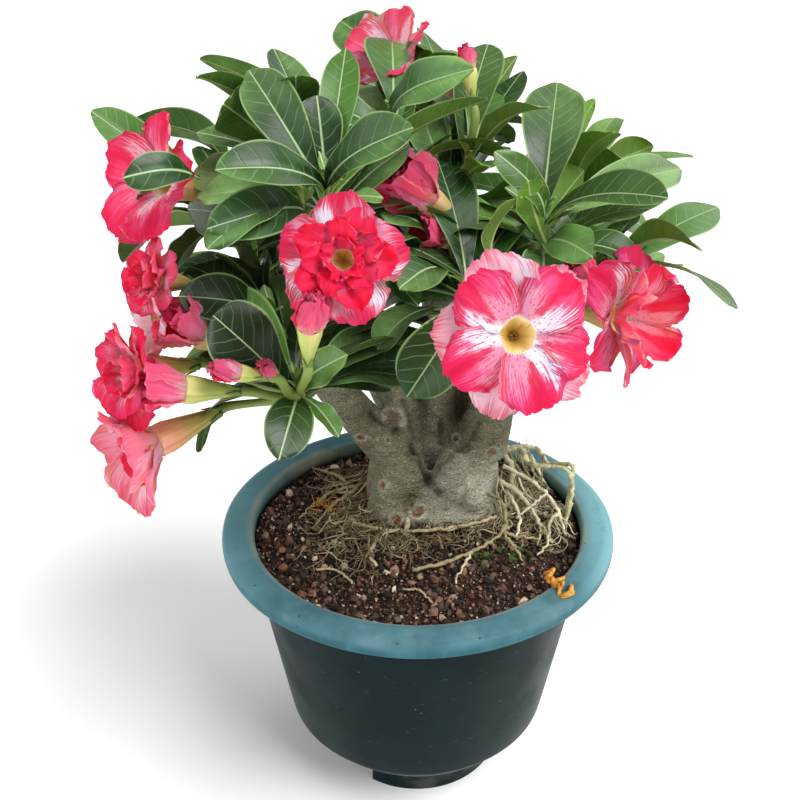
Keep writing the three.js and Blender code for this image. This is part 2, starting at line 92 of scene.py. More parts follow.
def through(points: Sequence[Triple], steps: int) -> np.ndarray:
    """A smooth curve through some points.

    Args:
        points: The places it passes, in mm.
        steps: How many stretches it is cut into.

    Returns:
        steps + 1 points, evenly spaced along the curve.
    """
    p = np.array(points, dtype=float)
    p = np.vstack([2 * p[0] - p[1], p, 2 * p[-1] - p[-2]])
    fine = []
    for a, b, c, d in zip(p, p[1:], p[2:], p[3:]):
        t = np.linspace(0, 1, CURVE_STEPS, endpoint=False)[:, None]
        fine.append(
            0.5 * (2 * b + (c - a) * t + (2 * a - 5 * b + 4 * c - d) * t**2 + (3 * b - a - 3 * c + d) * t**3)
        )
    fine = np.vstack([*fine, p[-2:-1]])
    run = np.concatenate([[0], np.cumsum(np.linalg.norm(np.diff(fine, axis=0), axis=1))])
    stops = np.linspace(0, run[-1], steps + 1)
    return np.stack([np.interp(stops, run, fine[:, k]) for k in range(3)], axis=1)


def spread(values: Sequence[float], count: int) -> np.ndarray:
    """Count numbers that run evenly through the given ones."""
    return np.interp(np.linspace(0, 1, count), np.linspace(0, 1, len(values)), values)


def full_turn(count: int) -> np.ndarray:
    """The angles of a ring of points, in radians."""
    return np.linspace(0, 2 * math.pi, count, endpoint=False)


def grid_faces(rows: int, cols: int, wrap: bool = False) -> np.ndarray:
    """The quads of a grid of points, row by row.

    Args:
        rows: Points along the first way.
        cols: Points along the second way.
        wrap: Whether the last column joins the first.

    Returns:
        One row of four point numbers for each quad.
    """
    i, j = np.meshgrid(np.arange(rows - 1), np.arange(cols if wrap else cols - 1), indexing="ij")
    i, j = i.ravel(), j.ravel()
    k = (j + 1) % cols
    return np.stack([i * cols + j, i * cols + k, (i + 1) * cols + k, (i + 1) * cols + j], axis=1)


# ---------------------------------------------------------------- bodies


@dataclass
class Body:
    """The surface of one piece, gathered from patches that each carry marks for the finishes."""

    points: list[np.ndarray] = field(default_factory=list)
    faces: list[np.ndarray] = field(default_factory=list)
    finish: list[np.ndarray] = field(default_factory=list)
    marks: dict[str, list[np.ndarray]] = field(default_factory=dict)
    count: int = 0

    def add(
        self, points: np.ndarray, faces: Sequence[np.ndarray], finish: int = 0, **marks: np.ndarray
    ) -> None:
        """Adds a patch.

        Args:
            points: Its points in mm.
            faces: Arrays of triangles, quads or rings of point numbers.
            finish: Which of the piece's materials it wears.
            marks: Three numbers for each point, by name.
        """
        flat = points.reshape(-1, 3)
        self.points.append(flat)
        for some in faces:
            some = np.atleast_2d(some)
            self.faces.append(some + self.count)
            self.finish.append(np.full(len(some), finish))
        for name, values in marks.items():
            filled = np.broadcast_to(values, points.shape).reshape(-1, 3)
            self.marks.setdefault(name, []).append(filled)
        self.count += len(flat)

    def sheet(
        self, top: np.ndarray, under: np.ndarray, finishes: tuple[int, int], **marks: np.ndarray
    ) -> None:
        """Adds a thin closed sheet whose two sides share their edge.

        Args:
            top: The upper side's grid of points.
            under: The lower side's grid, of the same shape.
            finishes: The materials of the two sides.
            marks: Three numbers for each grid point, by name.
        """
        rows, cols = top.shape[:2]
        numbers = np.arange(rows * cols).reshape(rows, cols)
        lower = numbers.copy()
        lower[1:-1, 1:-1] = rows * cols + np.arange((rows - 2) * (cols - 2)).reshape(rows - 2, cols - 2)
        inside = (slice(1, -1), slice(1, -1))
        points = np.vstack([top.reshape(-1, 3), under[inside].reshape(-1, 3)])
        quads = grid_faces(rows, cols)
        both = {
            name: np.vstack([m.reshape(-1, 3), m[inside].reshape(-1, 3)])
            for name, m in ((n, np.broadcast_to(v, top.shape)) for n, v in marks.items())
        }
        start = self.count
        self.add(points, [quads], finishes[0], **both)
        self.faces.append(lower.ravel()[quads][:, ::-1] + start)
        self.finish.append(np.full(len(quads), finishes[1]))

    def tube(
        self, path: np.ndarray, radii: np.ndarray, sides: int, finish: int = 0, **marks: np.ndarray
    ) -> None:
        """Adds a round tube along a path, closed at both ends.

        Args:
            path: Points along its middle.
            radii: Its radius at each point.
            sides: How many flats go round it.
            finish: Which material it wears.
            marks: Three numbers for each point, by name.
        """
        start = np.arange(sides)
        ends = [start[::-1], (len(path) - 1) * sides + start]
        self.add(swept(path, radii, sides), [grid_faces(len(path), sides, wrap=True), *ends], finish, **marks)

    def make(
        self,
        name: str,
        materials: Sequence[Material],
        slot: str,
        nodes: Sequence[str],
        flat: bool = False,
    ) -> bpy.types.Object:
        """Makes the piece, hangs it under the root body and hides the CAD nodes that it replaces.

        Args:
            name: The piece's name.
            materials: Its materials, in the order of the finish numbers.
            slot: The material slot that the piece is meant for; not used.
            nodes: The CAD nodes that it replaces.
            flat: Whether its facets show.

        Returns:
            The new object.
        """
        mesh = bpy.data.meshes.new(name)
        points = np.vstack(self.points) * MM
        mesh.vertices.add(len(points))
        mesh.vertices.foreach_set("co", points.ravel())
        sizes = np.concatenate([np.full(len(f), f.shape[1]) for f in self.faces])
        corners = np.concatenate([f.ravel() for f in self.faces])
        mesh.loops.add(len(corners))
        mesh.loops.foreach_set("vertex_index", corners)
        mesh.polygons.add(len(sizes))
        mesh.polygons.foreach_set("loop_start", np.concatenate([[0], np.cumsum(sizes)[:-1]]))
        finish = np.concatenate(self.finish)
        mesh.polygons.foreach_set("material_index", finish)
        mesh.polygons.foreach_set("use_smooth", np.full(len(sizes), not flat))
        for mark, parts in self.marks.items():
            values = np.vstack(parts).astype(np.float32)
            mesh.attributes.new(mark, "FLOAT_VECTOR", "POINT").data.foreach_set("vector", values.ravel())
        mesh.update(calc_edges=True)
        mark_seams(mesh, np.repeat(finish, sizes))
        mesh.validate()
        for material in materials:
            mesh.materials.append(material)
        piece = bpy.data.objects.new(name, mesh)
        bpy.context.scene.collection.objects.link(piece)
        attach(piece, "root")
        if nodes:
            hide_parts(*nodes)
        LOG.info("%s: %d faces", name, len(sizes))
        return piece


def mark_seams(mesh: bpy.types.Mesh, finish: np.ndarray) -> None:
    """Makes the edges between two finishes sharp.

    Args:
        mesh: The mesh.
        finish: The material number at each face corner.
    """
    edge = np.empty(len(finish), dtype=np.int32)
    mesh.loops.foreach_get("edge_index", edge)
    low = np.full(len(mesh.edges), UNUSED)
    high = np.full(len(mesh.edges), -1)
    np.minimum.at(low, edge, finish)
    np.maximum.at(high, edge, finish)
    mesh.attributes.new("sharp_edge", "BOOLEAN", "EDGE").data.foreach_set("value", low != high)


def swept(path: np.ndarray, radii: np.ndarray, sides: int) -> np.ndarray:
    """Rings of points round a path, turned as little as possible from one to the next.

    Args:
        path: Points along the middle.
        radii: The radius at each point.
        sides: How many points a ring has.

    Returns:
        A grid of points, one row for each ring.
    """
    run = np.gradient(path, axis=0)
    run /= np.linalg.norm(run, axis=1)[:, None]
    side = np.cross(run[0], vec(0, 0, 1))
    if np.linalg.norm(side) < 0.1:
        side = np.cross(run[0], vec(0, 1, 0))
    angle = full_turn(sides)
    radii = np.broadcast_to(np.asarray(radii, dtype=float).reshape(len(path), -1), (len(path), sides))
    rings = np.empty((len(path), sides, 3))
    for i, along in enumerate(run):
        side = unit(side - along * side.dot(along))
        other = np.cross(along, side)
        ring = np.outer(np.cos(angle), side) + np.outer(np.sin(angle), other)
        rings[i] = path[i] + ring * radii[i][:, None]
    return rings


# ---------------------------------------------------------------- finishes


def srgb(red: int, green: int, blue: int) -> Rgb:
    """A display colour, 0 to 255, as linear light."""
    lin = [((c / 255 + 0.055) / 1.055) ** 2.4 if c > 10 else c / 255 / 12.92 for c in (red, green, blue)]
    return (lin[0], lin[1], lin[2], 1.0)


class Value:
    """A number or colour that varies over a surface, for sums with the usual signs."""

    def __init__(self, shade: "Shade", socket: bpy.types.NodeSocket) -> None:
        """Wraps an output of one of a material's nodes."""
        self.shade, self.socket = shade, socket

    def __add__(self, other: object) -> "Value":
        """The sum."""
        return self.shade.calc("ADD", self, other)

    def __sub__(self, other: object) -> "Value":
        """The difference."""
        return self.shade.calc("SUBTRACT", self, other)

    def __rsub__(self, other: float) -> "Value":
        """What is left of a number."""
        return self.shade.calc("SUBTRACT", other, self)

    def __mul__(self, other: object) -> "Value":
        """The product."""
        return self.shade.calc("MULTIPLY", self, other)

    def __abs__(self) -> "Value":
        """The value without its sign."""
        return self.shade.calc("ABSOLUTE", self)

    def ease(self, low: float, high: float, start: float = 0.0, end: float = 1.0) -> "Value":
        """Start below low and end above high, with an even S between them."""
        inputs = {"Value": self, "From Min": low, "From Max": high, "To Min": start, "To Max": end}
        return self.shade.value("ShaderNodeMapRange", inputs, "Result", interpolation_type="SMOOTHSTEP")


class Shade:
    """A material, wired with short calls and coloured layer over layer."""

    def __init__(self, name: str, **constants: float) -> None:
        """Starts a material.

        Args:
            name: Its name.
            constants: Shader settings that are the same all over, by socket name.
        """
        self.material = bpy.data.materials.new(name)
        self.material.use_nodes = True
        self.tree = self.material.node_tree
        self.surface = self.tree.nodes["Principled BSDF"]
        self.colour: Value | None = None
        for socket, value in constants.items():
            self.surface.inputs[socket.replace("_", " ")].default_value = value

    def put(self, socket: bpy.types.NodeSocket, value: object) -> None:
        """Links an input to a value, or sets it to a constant.

        Args:
            socket: The input.
            value: The value or the constant.
        """
        if isinstance(value, Value):
            self.tree.links.new(value.socket, socket)
        else:
            socket.default_value = value

    def node(self, kind: str, inputs: dict[str | int, object], **settings: object) -> bpy.types.Node:
        """Adds a node.

        Args:
            kind: Its type.
            inputs: A value or a constant for each input, by name or number.
            settings: The node's own settings.

        Returns:
            The node.
        """
        made = self.tree.nodes.new(kind)
        for name, setting in settings.items():
            setattr(made, name, setting)
        for name, value in inputs.items():
            self.put(made.inputs[name], value)
        return made

    def value(
        self, kind: str, inputs: dict[str | int, object], output: str | int = 0, **settings: object
    ) -> Value:
        """Adds a node, and gives one of its outputs."""
        return Value(self, self.node(kind, inputs, **settings).outputs[output])

    def split(self, vector: Value) -> list[Value]:
        """The three numbers of a vector."""
        return [Value(self, part) for part in self.node("ShaderNodeSeparateXYZ", {0: vector}).outputs]

    def mark(self, name: str) -> list[Value]:
        """The three numbers of a mark on the mesh."""
        return self.split(self.value("ShaderNodeAttribute", {}, "Vector", attribute_name=name))

    def place(self) -> Value:
        """The place on the object, in metres."""
        return self.value("ShaderNodeTexCoord", {}, "Object")

    def calc(self, operation: str, a: object, b: object = 0.0) -> Value:
        """The result of one sum."""
        return self.value("ShaderNodeMath", {0: a, 1: b, 2: 0.0}, operation=operation)

    def join(self, x: object, y: object, z: object) -> Value:
        """Three numbers as one vector."""
        return self.value("ShaderNodeCombineXYZ", {0: x, 1: y, 2: z})

    def grain(
        self, scale: float, detail: float = 3.0, stretch: Triple = (1, 1, 1), where: Value | None = None
    ) -> Value:
        """Cloudy noise.

        Args:
            scale: Patches in each unit.
            detail: How many finer layers it has.
            stretch: How much faster it changes along each axis.
            where: The place it is read at, by default the place on the object.

        Returns:
            A number, mostly between 0.3 and 0.7.
        """
        stretched = {0: where or self.place(), 1: tuple(stretch)}
        at = self.value("ShaderNodeVectorMath", stretched, operation="MULTIPLY")
        inputs = {"Vector": at, "Scale": scale, "Detail": detail, "Roughness": 0.6}
        return self.value("ShaderNodeTexNoise", inputs)

    def cells(self, scale: float, where: Value | None = None) -> Value:
        """The distance to the nearest of many scattered points."""
        inputs = {"Vector": where or self.place(), "Scale": scale}
        return self.value("ShaderNodeTexVoronoi", inputs, "Distance")

    def blend(self, share: object, a: Value | Colour, b: Value | Colour) -> Value:
        """Colour a turning into colour b."""
        a, b = (srgb(*c) if isinstance(c, tuple) else c for c in (a, b))
        return self.value("ShaderNodeMix", {0: share, 6: a, 7: b}, 2, data_type="RGBA", blend_type="MIX")

    def over(self, share: object, colour: Value | Colour) -> None:
        """Lays a colour over what the material has so far."""
        self.colour = self.blend(share, self.colour, colour)

    def stops(self, value: Value, *rows: tuple[float, int, int, int]) -> Value:
        """A colour scale.

        Args:
            value: The value that chooses the colour.
            rows: Its stops, each a place from 0 to 1 and a display colour.

        Returns:
            The colour.
        """
        ramp = self.node("ShaderNodeValToRGB", {0: value})
        band = ramp.color_ramp.elements
        while len(band) < len(rows):
            band.new(0.5)
        for element, (at, *colour) in zip(band, rows):
            element.position, element.color = at, srgb(*colour)
        return Value(self, ramp.outputs[0])

    def wear(self, roughness: object, relief: Value | None = None, depth: float = 0.3) -> Material:
        """Puts the colour and the rest on the surface.

        Args:
            roughness: A number or value.
            relief: The height for small bumps.
            depth: The bumps' full height in mm.

        Returns:
            The finished material.
        """
        self.put(self.surface.inputs["Base Color"], self.colour)
        self.put(self.surface.inputs["Roughness"], roughness)
        if relief is not None:
            bump = self.value("ShaderNodeBump", {"Height": relief, "Distance": depth * MM, "Strength": 1.0})
            self.put(self.surface.inputs["Normal"], bump)
        return self.material


@dataclass(frozen=True)
class LeafFinish:
    """The waxy green of a leaf's face and the duller green of its underside, with painted sheen where a face
    turns to the light and painted shade on the leaves of shaded shoots.
    """

    deep: Colour = (9, 36, 8)
    fresh: Colour = (38, 86, 18)
    # Painted sheen: the pale mint laid where a face turns to the light, a painted highlight.
    bloom: Colour = (154, 200, 118)
    # Painted shade: the dark green laid on the leaves of shaded shoots.
    painted_shade: Colour = (10, 29, 10)
    vein: Colour = (178, 206, 164)
    vein_gap: float = 7.4

    def _veins(self, shade: Shade) -> tuple[Value, Value, Value]:
        """Where the veins run.

        Args:
            shade: The leaf's material.

        Returns:
            Masks of the midrib, the side veins and the margin.
        """
        x, y, s = shade.mark("blade")
        lot, _, _ = shade.mark("tint")
        out = abs(x)
        bend = shade.calc("POWER", out, 1.35) * 0.34
        wobble = shade.grain(0.09, 1.0, where=shade.join(x, y, lot)) * 4.0
        phase = shade.calc("DIVIDE", y - bend + wobble, self.vein_gap)
        phase = phase + shade.calc("GREATER_THAN", x, 0.0) * 0.45
        rim = abs(s)
        side = abs(shade.calc("FRACT", phase) - 0.5).ease(0.01, 0.075, 1.0, 0.0)
        side = side * rim.ease(0.7, 0.96, 1.0, 0.0)
        taper = y.ease(0.0, 80.0, 1.25, 0.55)
        middle = shade.calc("DIVIDE", out, taper).ease(0.35, 0.85, 1.0, 0.0)
        return middle, side, rim.ease(0.9, 0.97)

    def face(self) -> Material:
        """The upper side.

        Returns:
            The material.
        """
        shade = Shade("leaf_face", Specular_IOR_Level=0.42)
        middle, side, rim = self._veins(shade)
        lot, bloom, young = shade.mark("tint")
        cloud = shade.grain(38.0, 4.0)
        shade.colour = shade.blend((cloud + lot * 0.5).ease(0.45, 1.05), self.deep, self.fresh)
        # Young leaves are yellower; above 0 the young mark also holds painted light on sunny shoots, below 0
        # painted shade.
        shade.over(young * 0.75, (112, 158, 60))
        shade.over(young.ease(-1.0, 0.0, 0.85, 0.0), self.painted_shade)
        # The bloom mark is painted sheen: paler where the face turns to the light.
        shade.over(bloom * shade.grain(90.0, 2.0).ease(0.3, 0.7, 0.65, 1.0), self.bloom)
        shade.over(side * 0.16, self.vein)
        shade.over(rim * 0.55, (150, 184, 112))
        shade.over(middle * 0.8, (178, 202, 152))
        shade.over(shade.cells(700.0).ease(0.06, 0.12, 0.35, 0.0), (190, 205, 180))
        return shade.wear(cloud.ease(0.3, 0.7, 0.3, 0.46), cloud * 0.5 - (side * 0.35 + middle), 0.4)

    def back(self) -> Material:
        """The lower side.

        Returns:
            The material.
        """
        shade = Shade("leaf_back", Specular_IOR_Level=0.3)
        middle, side, rim = self._veins(shade)
        lot, _, young = shade.mark("tint")
        cloud = shade.grain(45.0, 4.0)
        shade.colour = shade.blend(cloud.ease(0.35, 0.7), (66, 112, 32), (94, 144, 42))
        shade.over(lot.ease(0.3, 1.0, 0.0, 0.5), (92, 98, 50))
        shade.over(young * 0.6, (140, 178, 62))
        # Painted shade on the backs of the leaves of shaded shoots.
        shade.over(young.ease(-1.0, 0.0, 0.6, 0.0), self.painted_shade)
        shade.over(side * 0.28, (150, 170, 98))
        shade.over(middle * 0.75, (186, 196, 130))
        shade.over(rim * 0.55, (190, 198, 140))
        return shade.wear(0.6, cloud * 0.5 + (side + middle), 0.3)

    def stem(self) -> Material:
        """The green bark of a young stem, browner lower down, ringed where leaves have dropped.

        Returns:
            The material.
        """
        shade = Shade("young_stem", Specular_IOR_Level=0.35)
        _, along, _ = shade.mark("blade")
        cloud = shade.grain(120.0, 4.0)
        age = along + (cloud - 0.5) * 0.6
        shade.colour = shade.stops(
            age, (0.0, 112, 112, 88), (0.35, 116, 122, 84), (0.75, 104, 134, 70), (1.0, 124, 156, 80)
        )
        scars = shade.cells(150.0)
        shade.over(scars.ease(0.12, 0.2, 0.5, 0.0), (150, 140, 110))
        return shade.wear(0.6, cloud + scars.ease(0.1, 0.25), 0.5)


@dataclass(frozen=True)
class PetalFinish:
    """Petals from crimson to pale pink, their cream throat and the tube behind them."""

    crimson: Colour = (206, 8, 70)
    pink: Colour = (220, 74, 124)
    pale: Colour = (250, 218, 232)
    ruby: Colour = (232, 9, 60)
    coral: Colour = (250, 40, 92)
    wine: Colour = (180, 10, 52)

    def _along(self, shade: Shade, across: float, along: float, lots: float) -> Value:
        """A place on the petal that noise is read at, with so many patches across it and along it."""
        u, v, lot = shade.mark("petal")
        return shade.join(u * across, v * along, lot * lots)

    def face(self, back: bool) -> Material:
        """One side of the petals.

        Args:
            back: Whether this is the paler outer side.

        Returns:
            The material.
        """
        name = "petal_back" if back else "petal_face"
        shade = Shade(name, Specular_IOR_Level=0.22, Subsurface_Weight=0.55, Subsurface_Scale=0.005)
        u, v, lot = shade.mark("petal")
        crimson, pale, spread_out = shade.mark("tone")
        lean = shade.calc("FRACT", lot * 7.13) - 0.5
        away = u - lean * 0.5
        fibre = shade.grain(1.0, 2.0, where=self._along(shade, 24.0, 1.7, 31.0))
        blotch = shade.grain(1.0, 3.0, where=self._along(shade, 3.2, 2.6, 57.0))
        ragged, drift = fibre - 0.5, blotch - 0.5
        edge = shade.calc("MAXIMUM", abs(u), v) + ragged * 0.9
        flame = abs(away) + (ragged * 0.5 + drift * 0.5) - v * 0.2
        reach = v + (ragged + drift)
        side = (away * shade.calc("SIGN", lean)).ease(-0.2, 0.1, 0.3, 1.0)
        white = (reach - spread_out).ease(0.42, 0.72, 0.98, 0.0) * shade.calc("MAXIMUM", side, spread_out)
        shade.colour = shade.blend(fibre.ease(0.45, 0.62, 0.0, 0.5), self.pink, self.crimson)
        shade.over(white, self.pale)
        shade.over(edge.ease(0.66, 0.94, 0.0, 0.9), self.crimson)
        shade.over(flame.ease(0.0, 0.13, 1.0, 0.0) * v.ease(0.05, 0.25) * 0.92, self.crimson)
        specks = shade.cells(1.0, self._along(shade, 11.0, 14.0, 1.0))
        shade.over(specks.ease(0.2, 0.36, 1.0, 0.0) * v.ease(0.2, 0.7, 0.8, 0.0), (200, 24, 96))
        deep = shade.blend((blotch + ragged * 0.5).ease(0.4, 0.75), self.ruby, self.coral)
        deep = shade.blend(edge.ease(0.85, 1.1, 0.0, 0.55), deep, self.wine)
        deep = shade.blend(reach.ease(0.1, 0.34, 0.35, 0.0), deep, self.pink)
        shade.over(crimson, deep)
        light = shade.blend((edge + drift * 0.5).ease(0.72, 1.1), (248, 204, 216), (230, 96, 132))
        light = shade.blend(fibre.ease(0.5, 0.72, 0.0, 0.35), light, (234, 132, 158))
        shade.over(pale, light)
        if back:
            shade.over(0.36, (255, 118, 162))
            shade.over(reach.ease(0.0, 0.34, 0.8, 0.0), (240, 164, 142))
        else:
            shade.over((v + ragged * 0.2).ease(0.0, 0.05, 0.8, 0.0), (246, 226, 190))
        return shade.wear(0.62, fibre * 0.8 + blotch * 0.5, 0.4)

    def tube(self) -> Material:
        """The outside of the tube: salmon where it widens, yellow-green at its base.

        Returns:
            The material.
        """
        shade = Shade("flower_tube", Specular_IOR_Level=0.35)
        around, along, lot = shade.mark("petal")
        warm, _, _ = shade.mark("tone")
        cloud = shade.grain(70.0, 3.0)
        fibre = shade.grain(1.0, 2.0, where=shade.join(around * 24.0, along, lot))
        at = along + (cloud - 0.5) * 0.5
        rosy = shade.stops(
            at, (0.0, 240, 162, 142), (0.35, 222, 156, 112), (0.6, 186, 160, 84), (0.85, 150, 158, 74),
            (1.0, 122, 140, 68),
        )
        limy = shade.stops(
            at, (0.0, 206, 198, 128), (0.3, 192, 200, 108), (0.6, 168, 186, 92), (1.0, 122, 144, 68)
        )
        shade.colour = shade.blend(warm, limy, rosy)
        shade.over(fibre.ease(0.48, 0.7, 0.0, 0.4), (226, 204, 150))
        return shade.wear(0.5, fibre + cloud, 0.35)

    def throat(self) -> Material:
        """The cream inside of the throat, lined and darker where it is deep.

        Returns:
            The material.
        """
        shade = Shade("flower_throat", Specular_IOR_Level=0.3)
        around, along, lot = shade.mark("petal")
        fibre = shade.grain(1.0, 2.0, where=shade.join(around * 34.0, along, lot))
        shade.colour = shade.stops(
            along, (0.0, 250, 232, 200), (0.2, 238, 214, 150), (0.55, 216, 184, 100), (0.85, 192, 160, 74),
            (1.0, 160, 132, 58),
        )
        shade.over(fibre.ease(0.54, 0.64, 0.0, 0.6), (200, 118, 76))
        return shade.wear(0.55, fibre, 0.3)

    def sepal(self) -> Material:
        """The small green leaves that hold the tube.

        Returns:
            The material.
        """
        shade = Shade("sepal", Specular_IOR_Level=0.3)
        _, along, _ = shade.mark("petal")
        cloud = shade.grain(150.0, 3.0)
        shade.colour = shade.blend(cloud.ease(0.35, 0.7), (96, 128, 60), (134, 158, 82))
        shade.over(along.ease(0.6, 1.0, 0.0, 0.6), (156, 104, 76))
        return shade.wear(0.6, cloud, 0.3)


@dataclass(frozen=True)
class BarkFinish:
    """The thin grey-olive skin of the trunk, wrinkled across, with corky scars, painted light on its right
    base and painted shade in its creases and grooves.
    """

    grey: Colour = (208, 204, 172)
    olive: Colour = (140, 136, 104)
    # Pale: the scar rims, and the painted light on the right base.
    pale: Colour = (252, 250, 230)

    def _warped(self, shade: Shade) -> Value:
        """The place on the object, shaken so that cells laid on it look like folded skin.

        Args:
            shade: The bark's material.

        Returns:
            The place, as a vector.
        """
        x, y, z = shade.split(shade.place())
        shake = (shade.grain(190.0, 2.0) - 0.5) * 0.012
        return shade.join(x, y + shake, (z + shake) * 1.7)

    def material(self) -> Material:
        """The bark.

        Returns:
            The material.
        """
        shade = Shade("bark", Specular_IOR_Level=0.3)
        # dark holds the dark scars and the painted shade; light holds the pale scar rims and the painted
        # light on the right base.
        cork, dark, light = shade.mark("bark")
        cloud = shade.grain(26.0, 5.0)
        wrinkle = shade.grain(420.0, 2.0, stretch=(0.8, 0.8, 1.5))
        net = shade.cells(420.0, self._warped(shade))
        crease = shade.grain(130.0, 4.0, stretch=(0.6, 0.6, 1.8))
        pores = shade.cells(420.0)
        shade.colour = shade.blend(cloud.ease(0.34, 0.68), self.olive, self.grey)
        # Painted light on the right base, and the pale scar rims.
        shade.over(light * wrinkle.ease(0.35, 0.65, 0.5, 1.0), self.pale)
        # Painted light on the small bumps: the wrinkles' crests paler, and the net lines, creases and pores
        # darker where the bumps sink, as painted shade in the grooves.
        shade.over(wrinkle.ease(0.46, 0.66, 0.0, 0.4), (188, 186, 162))
        dull = 1.0 - light * 0.25
        shade.over(dull * net.ease(0.3, 0.58, 0.0, 0.62), (72, 70, 52))
        shade.over(dull * crease.ease(0.34, 0.48, 0.3, 0.0), (66, 64, 46))
        shade.over(pores.ease(0.05, 0.13, 0.4, 0.0), (74, 66, 48))
        shade.over(cork, shade.blend(shade.grain(300.0, 3.0).ease(0.4, 0.65), (146, 80, 48), (194, 148, 106)))
        # The dark scars, the painted shade along the creases and over the middle and right limbs, and darker
        # towards the soil.
        shade.over(dark, (40, 30, 22))
        relief = wrinkle * 1.1 + crease.ease(0.36, 0.58, 0.0, 1.2) + net.ease(0.1, 0.6, 1.3, 0.0)
        return shade.wear(cloud.ease(0.3, 0.7, 0.62, 0.8), relief + pores.ease(0.04, 0.16, 0.0, 0.35), 1.3)


@dataclass(frozen=True)
class RootFinish:
    """Cream roots, greener where they are thick and stand in the light."""

    green: Colour = (186, 188, 128)
    stain: Colour = (96, 76, 50)

    def material(self) -> Material:
        """The root skin.

        Returns:
            The material.
        """
        shade = Shade("root_skin", Specular_IOR_Level=0.25)
        lot, green, _ = shade.mark("root")
        cloud = shade.grain(160.0, 4.0)
        shade.colour = shade.stops(
            lot, (0.0, 70, 58, 40), (0.3, 120, 104, 76), (0.6, 184, 170, 134), (1.0, 236, 228, 202)
        )
        shade.over(green * 0.9, self.green)
        shade.over(cloud.ease(0.4, 0.7, 0.0, 0.55), self.stain)
        return shade.wear(0.8, cloud, 0.6)


@dataclass(frozen=True)
class SoilFinish:
    """Dark peat under a layer of volcanic grit."""

    dust: Colour = (190, 160, 140)
    wet: Colour = (34, 26, 22)

    def bed(self) -> Material:
        """The peat between the grains.

        Returns:
            The material.
        """
        shade = Shade("peat", Specular_IOR_Level=0.2)
        cloud = shade.grain(220.0, 6.0)
        shade.colour = shade.stops(cloud, (0.3, 22, 15, 12), (0.55, 52, 34, 26), (0.75, 86, 56, 42))
        return shade.wear(0.95, cloud + shade.grain(60.0, 3.0), 1.5)

    def grit(self) -> Material:
        """The grains, black, red-brown and tan, some of them mossy.

        Returns:
            The material.
        """
        shade = Shade("grit", Specular_IOR_Level=0.25)
        lot, bright, moss = shade.mark("grain")
        cloud = shade.grain(500.0, 4.0)
        shade.colour = shade.stops(
            lot, (0.0, 15, 13, 13), (0.4, 32, 26, 23), (0.66, 66, 42, 32), (0.82, 116, 74, 54),
            (0.92, 158, 126, 100), (1.0, 232, 216, 190),
        )
        shade.over(cloud.ease(0.35, 0.7, 0.0, 0.55), self.wet)
        shade.over(bright * 0.25, self.dust)
        shade.over(moss, shade.blend(cloud, (34, 52, 18), (84, 108, 40)))
        return shade.wear(0.9, cloud, 0.6)


@dataclass(frozen=True)
class PlasticFinish:
    """Teal pot plastic, painted lighter on the rim's top and darker on the body and lip as painted light and
    shade, with painted sheen on the rim's sides, scuffs, grit specks and dried water marks.
    """

    scuff: Colour = (120, 150, 150)
    speck: Colour = (150, 170, 164)
    dirt: Colour = (44, 34, 28)
    tide: Colour = (150, 176, 176)
    chalk: Colour = (164, 162, 142)
    splash: Colour = (92, 92, 80)

    def _rim(self, shade: Shade, blotch: Value, painted_lit_rim: Value) -> Value:
        """The rim's colour, with painted sheen towards its two sides and painted shade on the lip's side.

        Args:
            shade: The pot's material.
            blotch: Its patches.
            painted_lit_rim: Where the rim's top is painted lighter, as painted light.

        Returns:
            The colour.
        """
        rim = shade.blend(blotch.ease(0.35, 0.65), (64, 101, 108), (78, 118, 127))
        # Painted sheen towards the rim's right and left sides.
        across = shade.split(shade.place())[0]
        rim = shade.blend(across.ease(0.085, 0.125, 0.0, 0.9), rim, (118, 166, 175))
        rim = shade.blend(across.ease(-0.12, -0.08, 0.8, 0.0), rim, (98, 144, 154))
        drip = shade.grain(55.0, 4.0, stretch=(1.0, 1.0, 0.3))
        rim = shade.blend(drip.ease(0.56, 0.7, 0.0, 0.3), rim, (60, 106, 118))
        # Painted shade on the lip's side, below the rim's top.
        return shade.blend(painted_lit_rim, shade.blend(drip.ease(0.4, 0.7), (40, 88, 98), (60, 110, 120)), rim)

    def material(self) -> Material:
        """The pot.

        Returns:
            The material.
        """
        shade = Shade("pot_plastic", Specular_IOR_Level=0.06)
        painted_lit_rim, inside, low = shade.mark("pot")
        blotch = shade.grain(34.0, 5.0)
        # Painted shade: the body is the rim's plastic, painted much darker.
        body = shade.blend(shade.grain(11.0, 4.0).ease(0.3, 0.7), (2, 21, 23), (5, 29, 31))
        shade.colour = shade.blend(painted_lit_rim.ease(0.0, 0.12), body, self._rim(shade, blotch, painted_lit_rim))
        scuffs = shade.grain(900.0, 2.0, stretch=(0.12, 0.12, 1.0))
        shade.over(scuffs.ease(0.7, 0.78, 0.0, 0.4), self.scuff)
        size = shade.grain(120.0, 2.0).ease(0.5, 0.75, 0.0, 0.13)
        shade.over(shade.calc("LESS_THAN", shade.cells(190.0), size) * 0.45, self.speck)
        shade.over(shade.calc("LESS_THAN", shade.cells(95.0), 0.07) * painted_lit_rim * 0.7, self.dirt)
        shade.over(shade.grain(26.0, 5.0).ease(0.5, 0.6) * painted_lit_rim * 0.1, self.tide)
        shade.over(inside * blotch.ease(0.3, 0.6, 0.3, 0.9), self.chalk)
        shade.over(low * blotch.ease(0.4, 0.7, 0.0, 0.6), self.splash)
        return shade.wear(blotch.ease(0.3, 0.7, 0.3, 0.44), blotch * 1.0 + scuffs * 0.2, 0.15)


# ---------------------------------------------------------------- pot


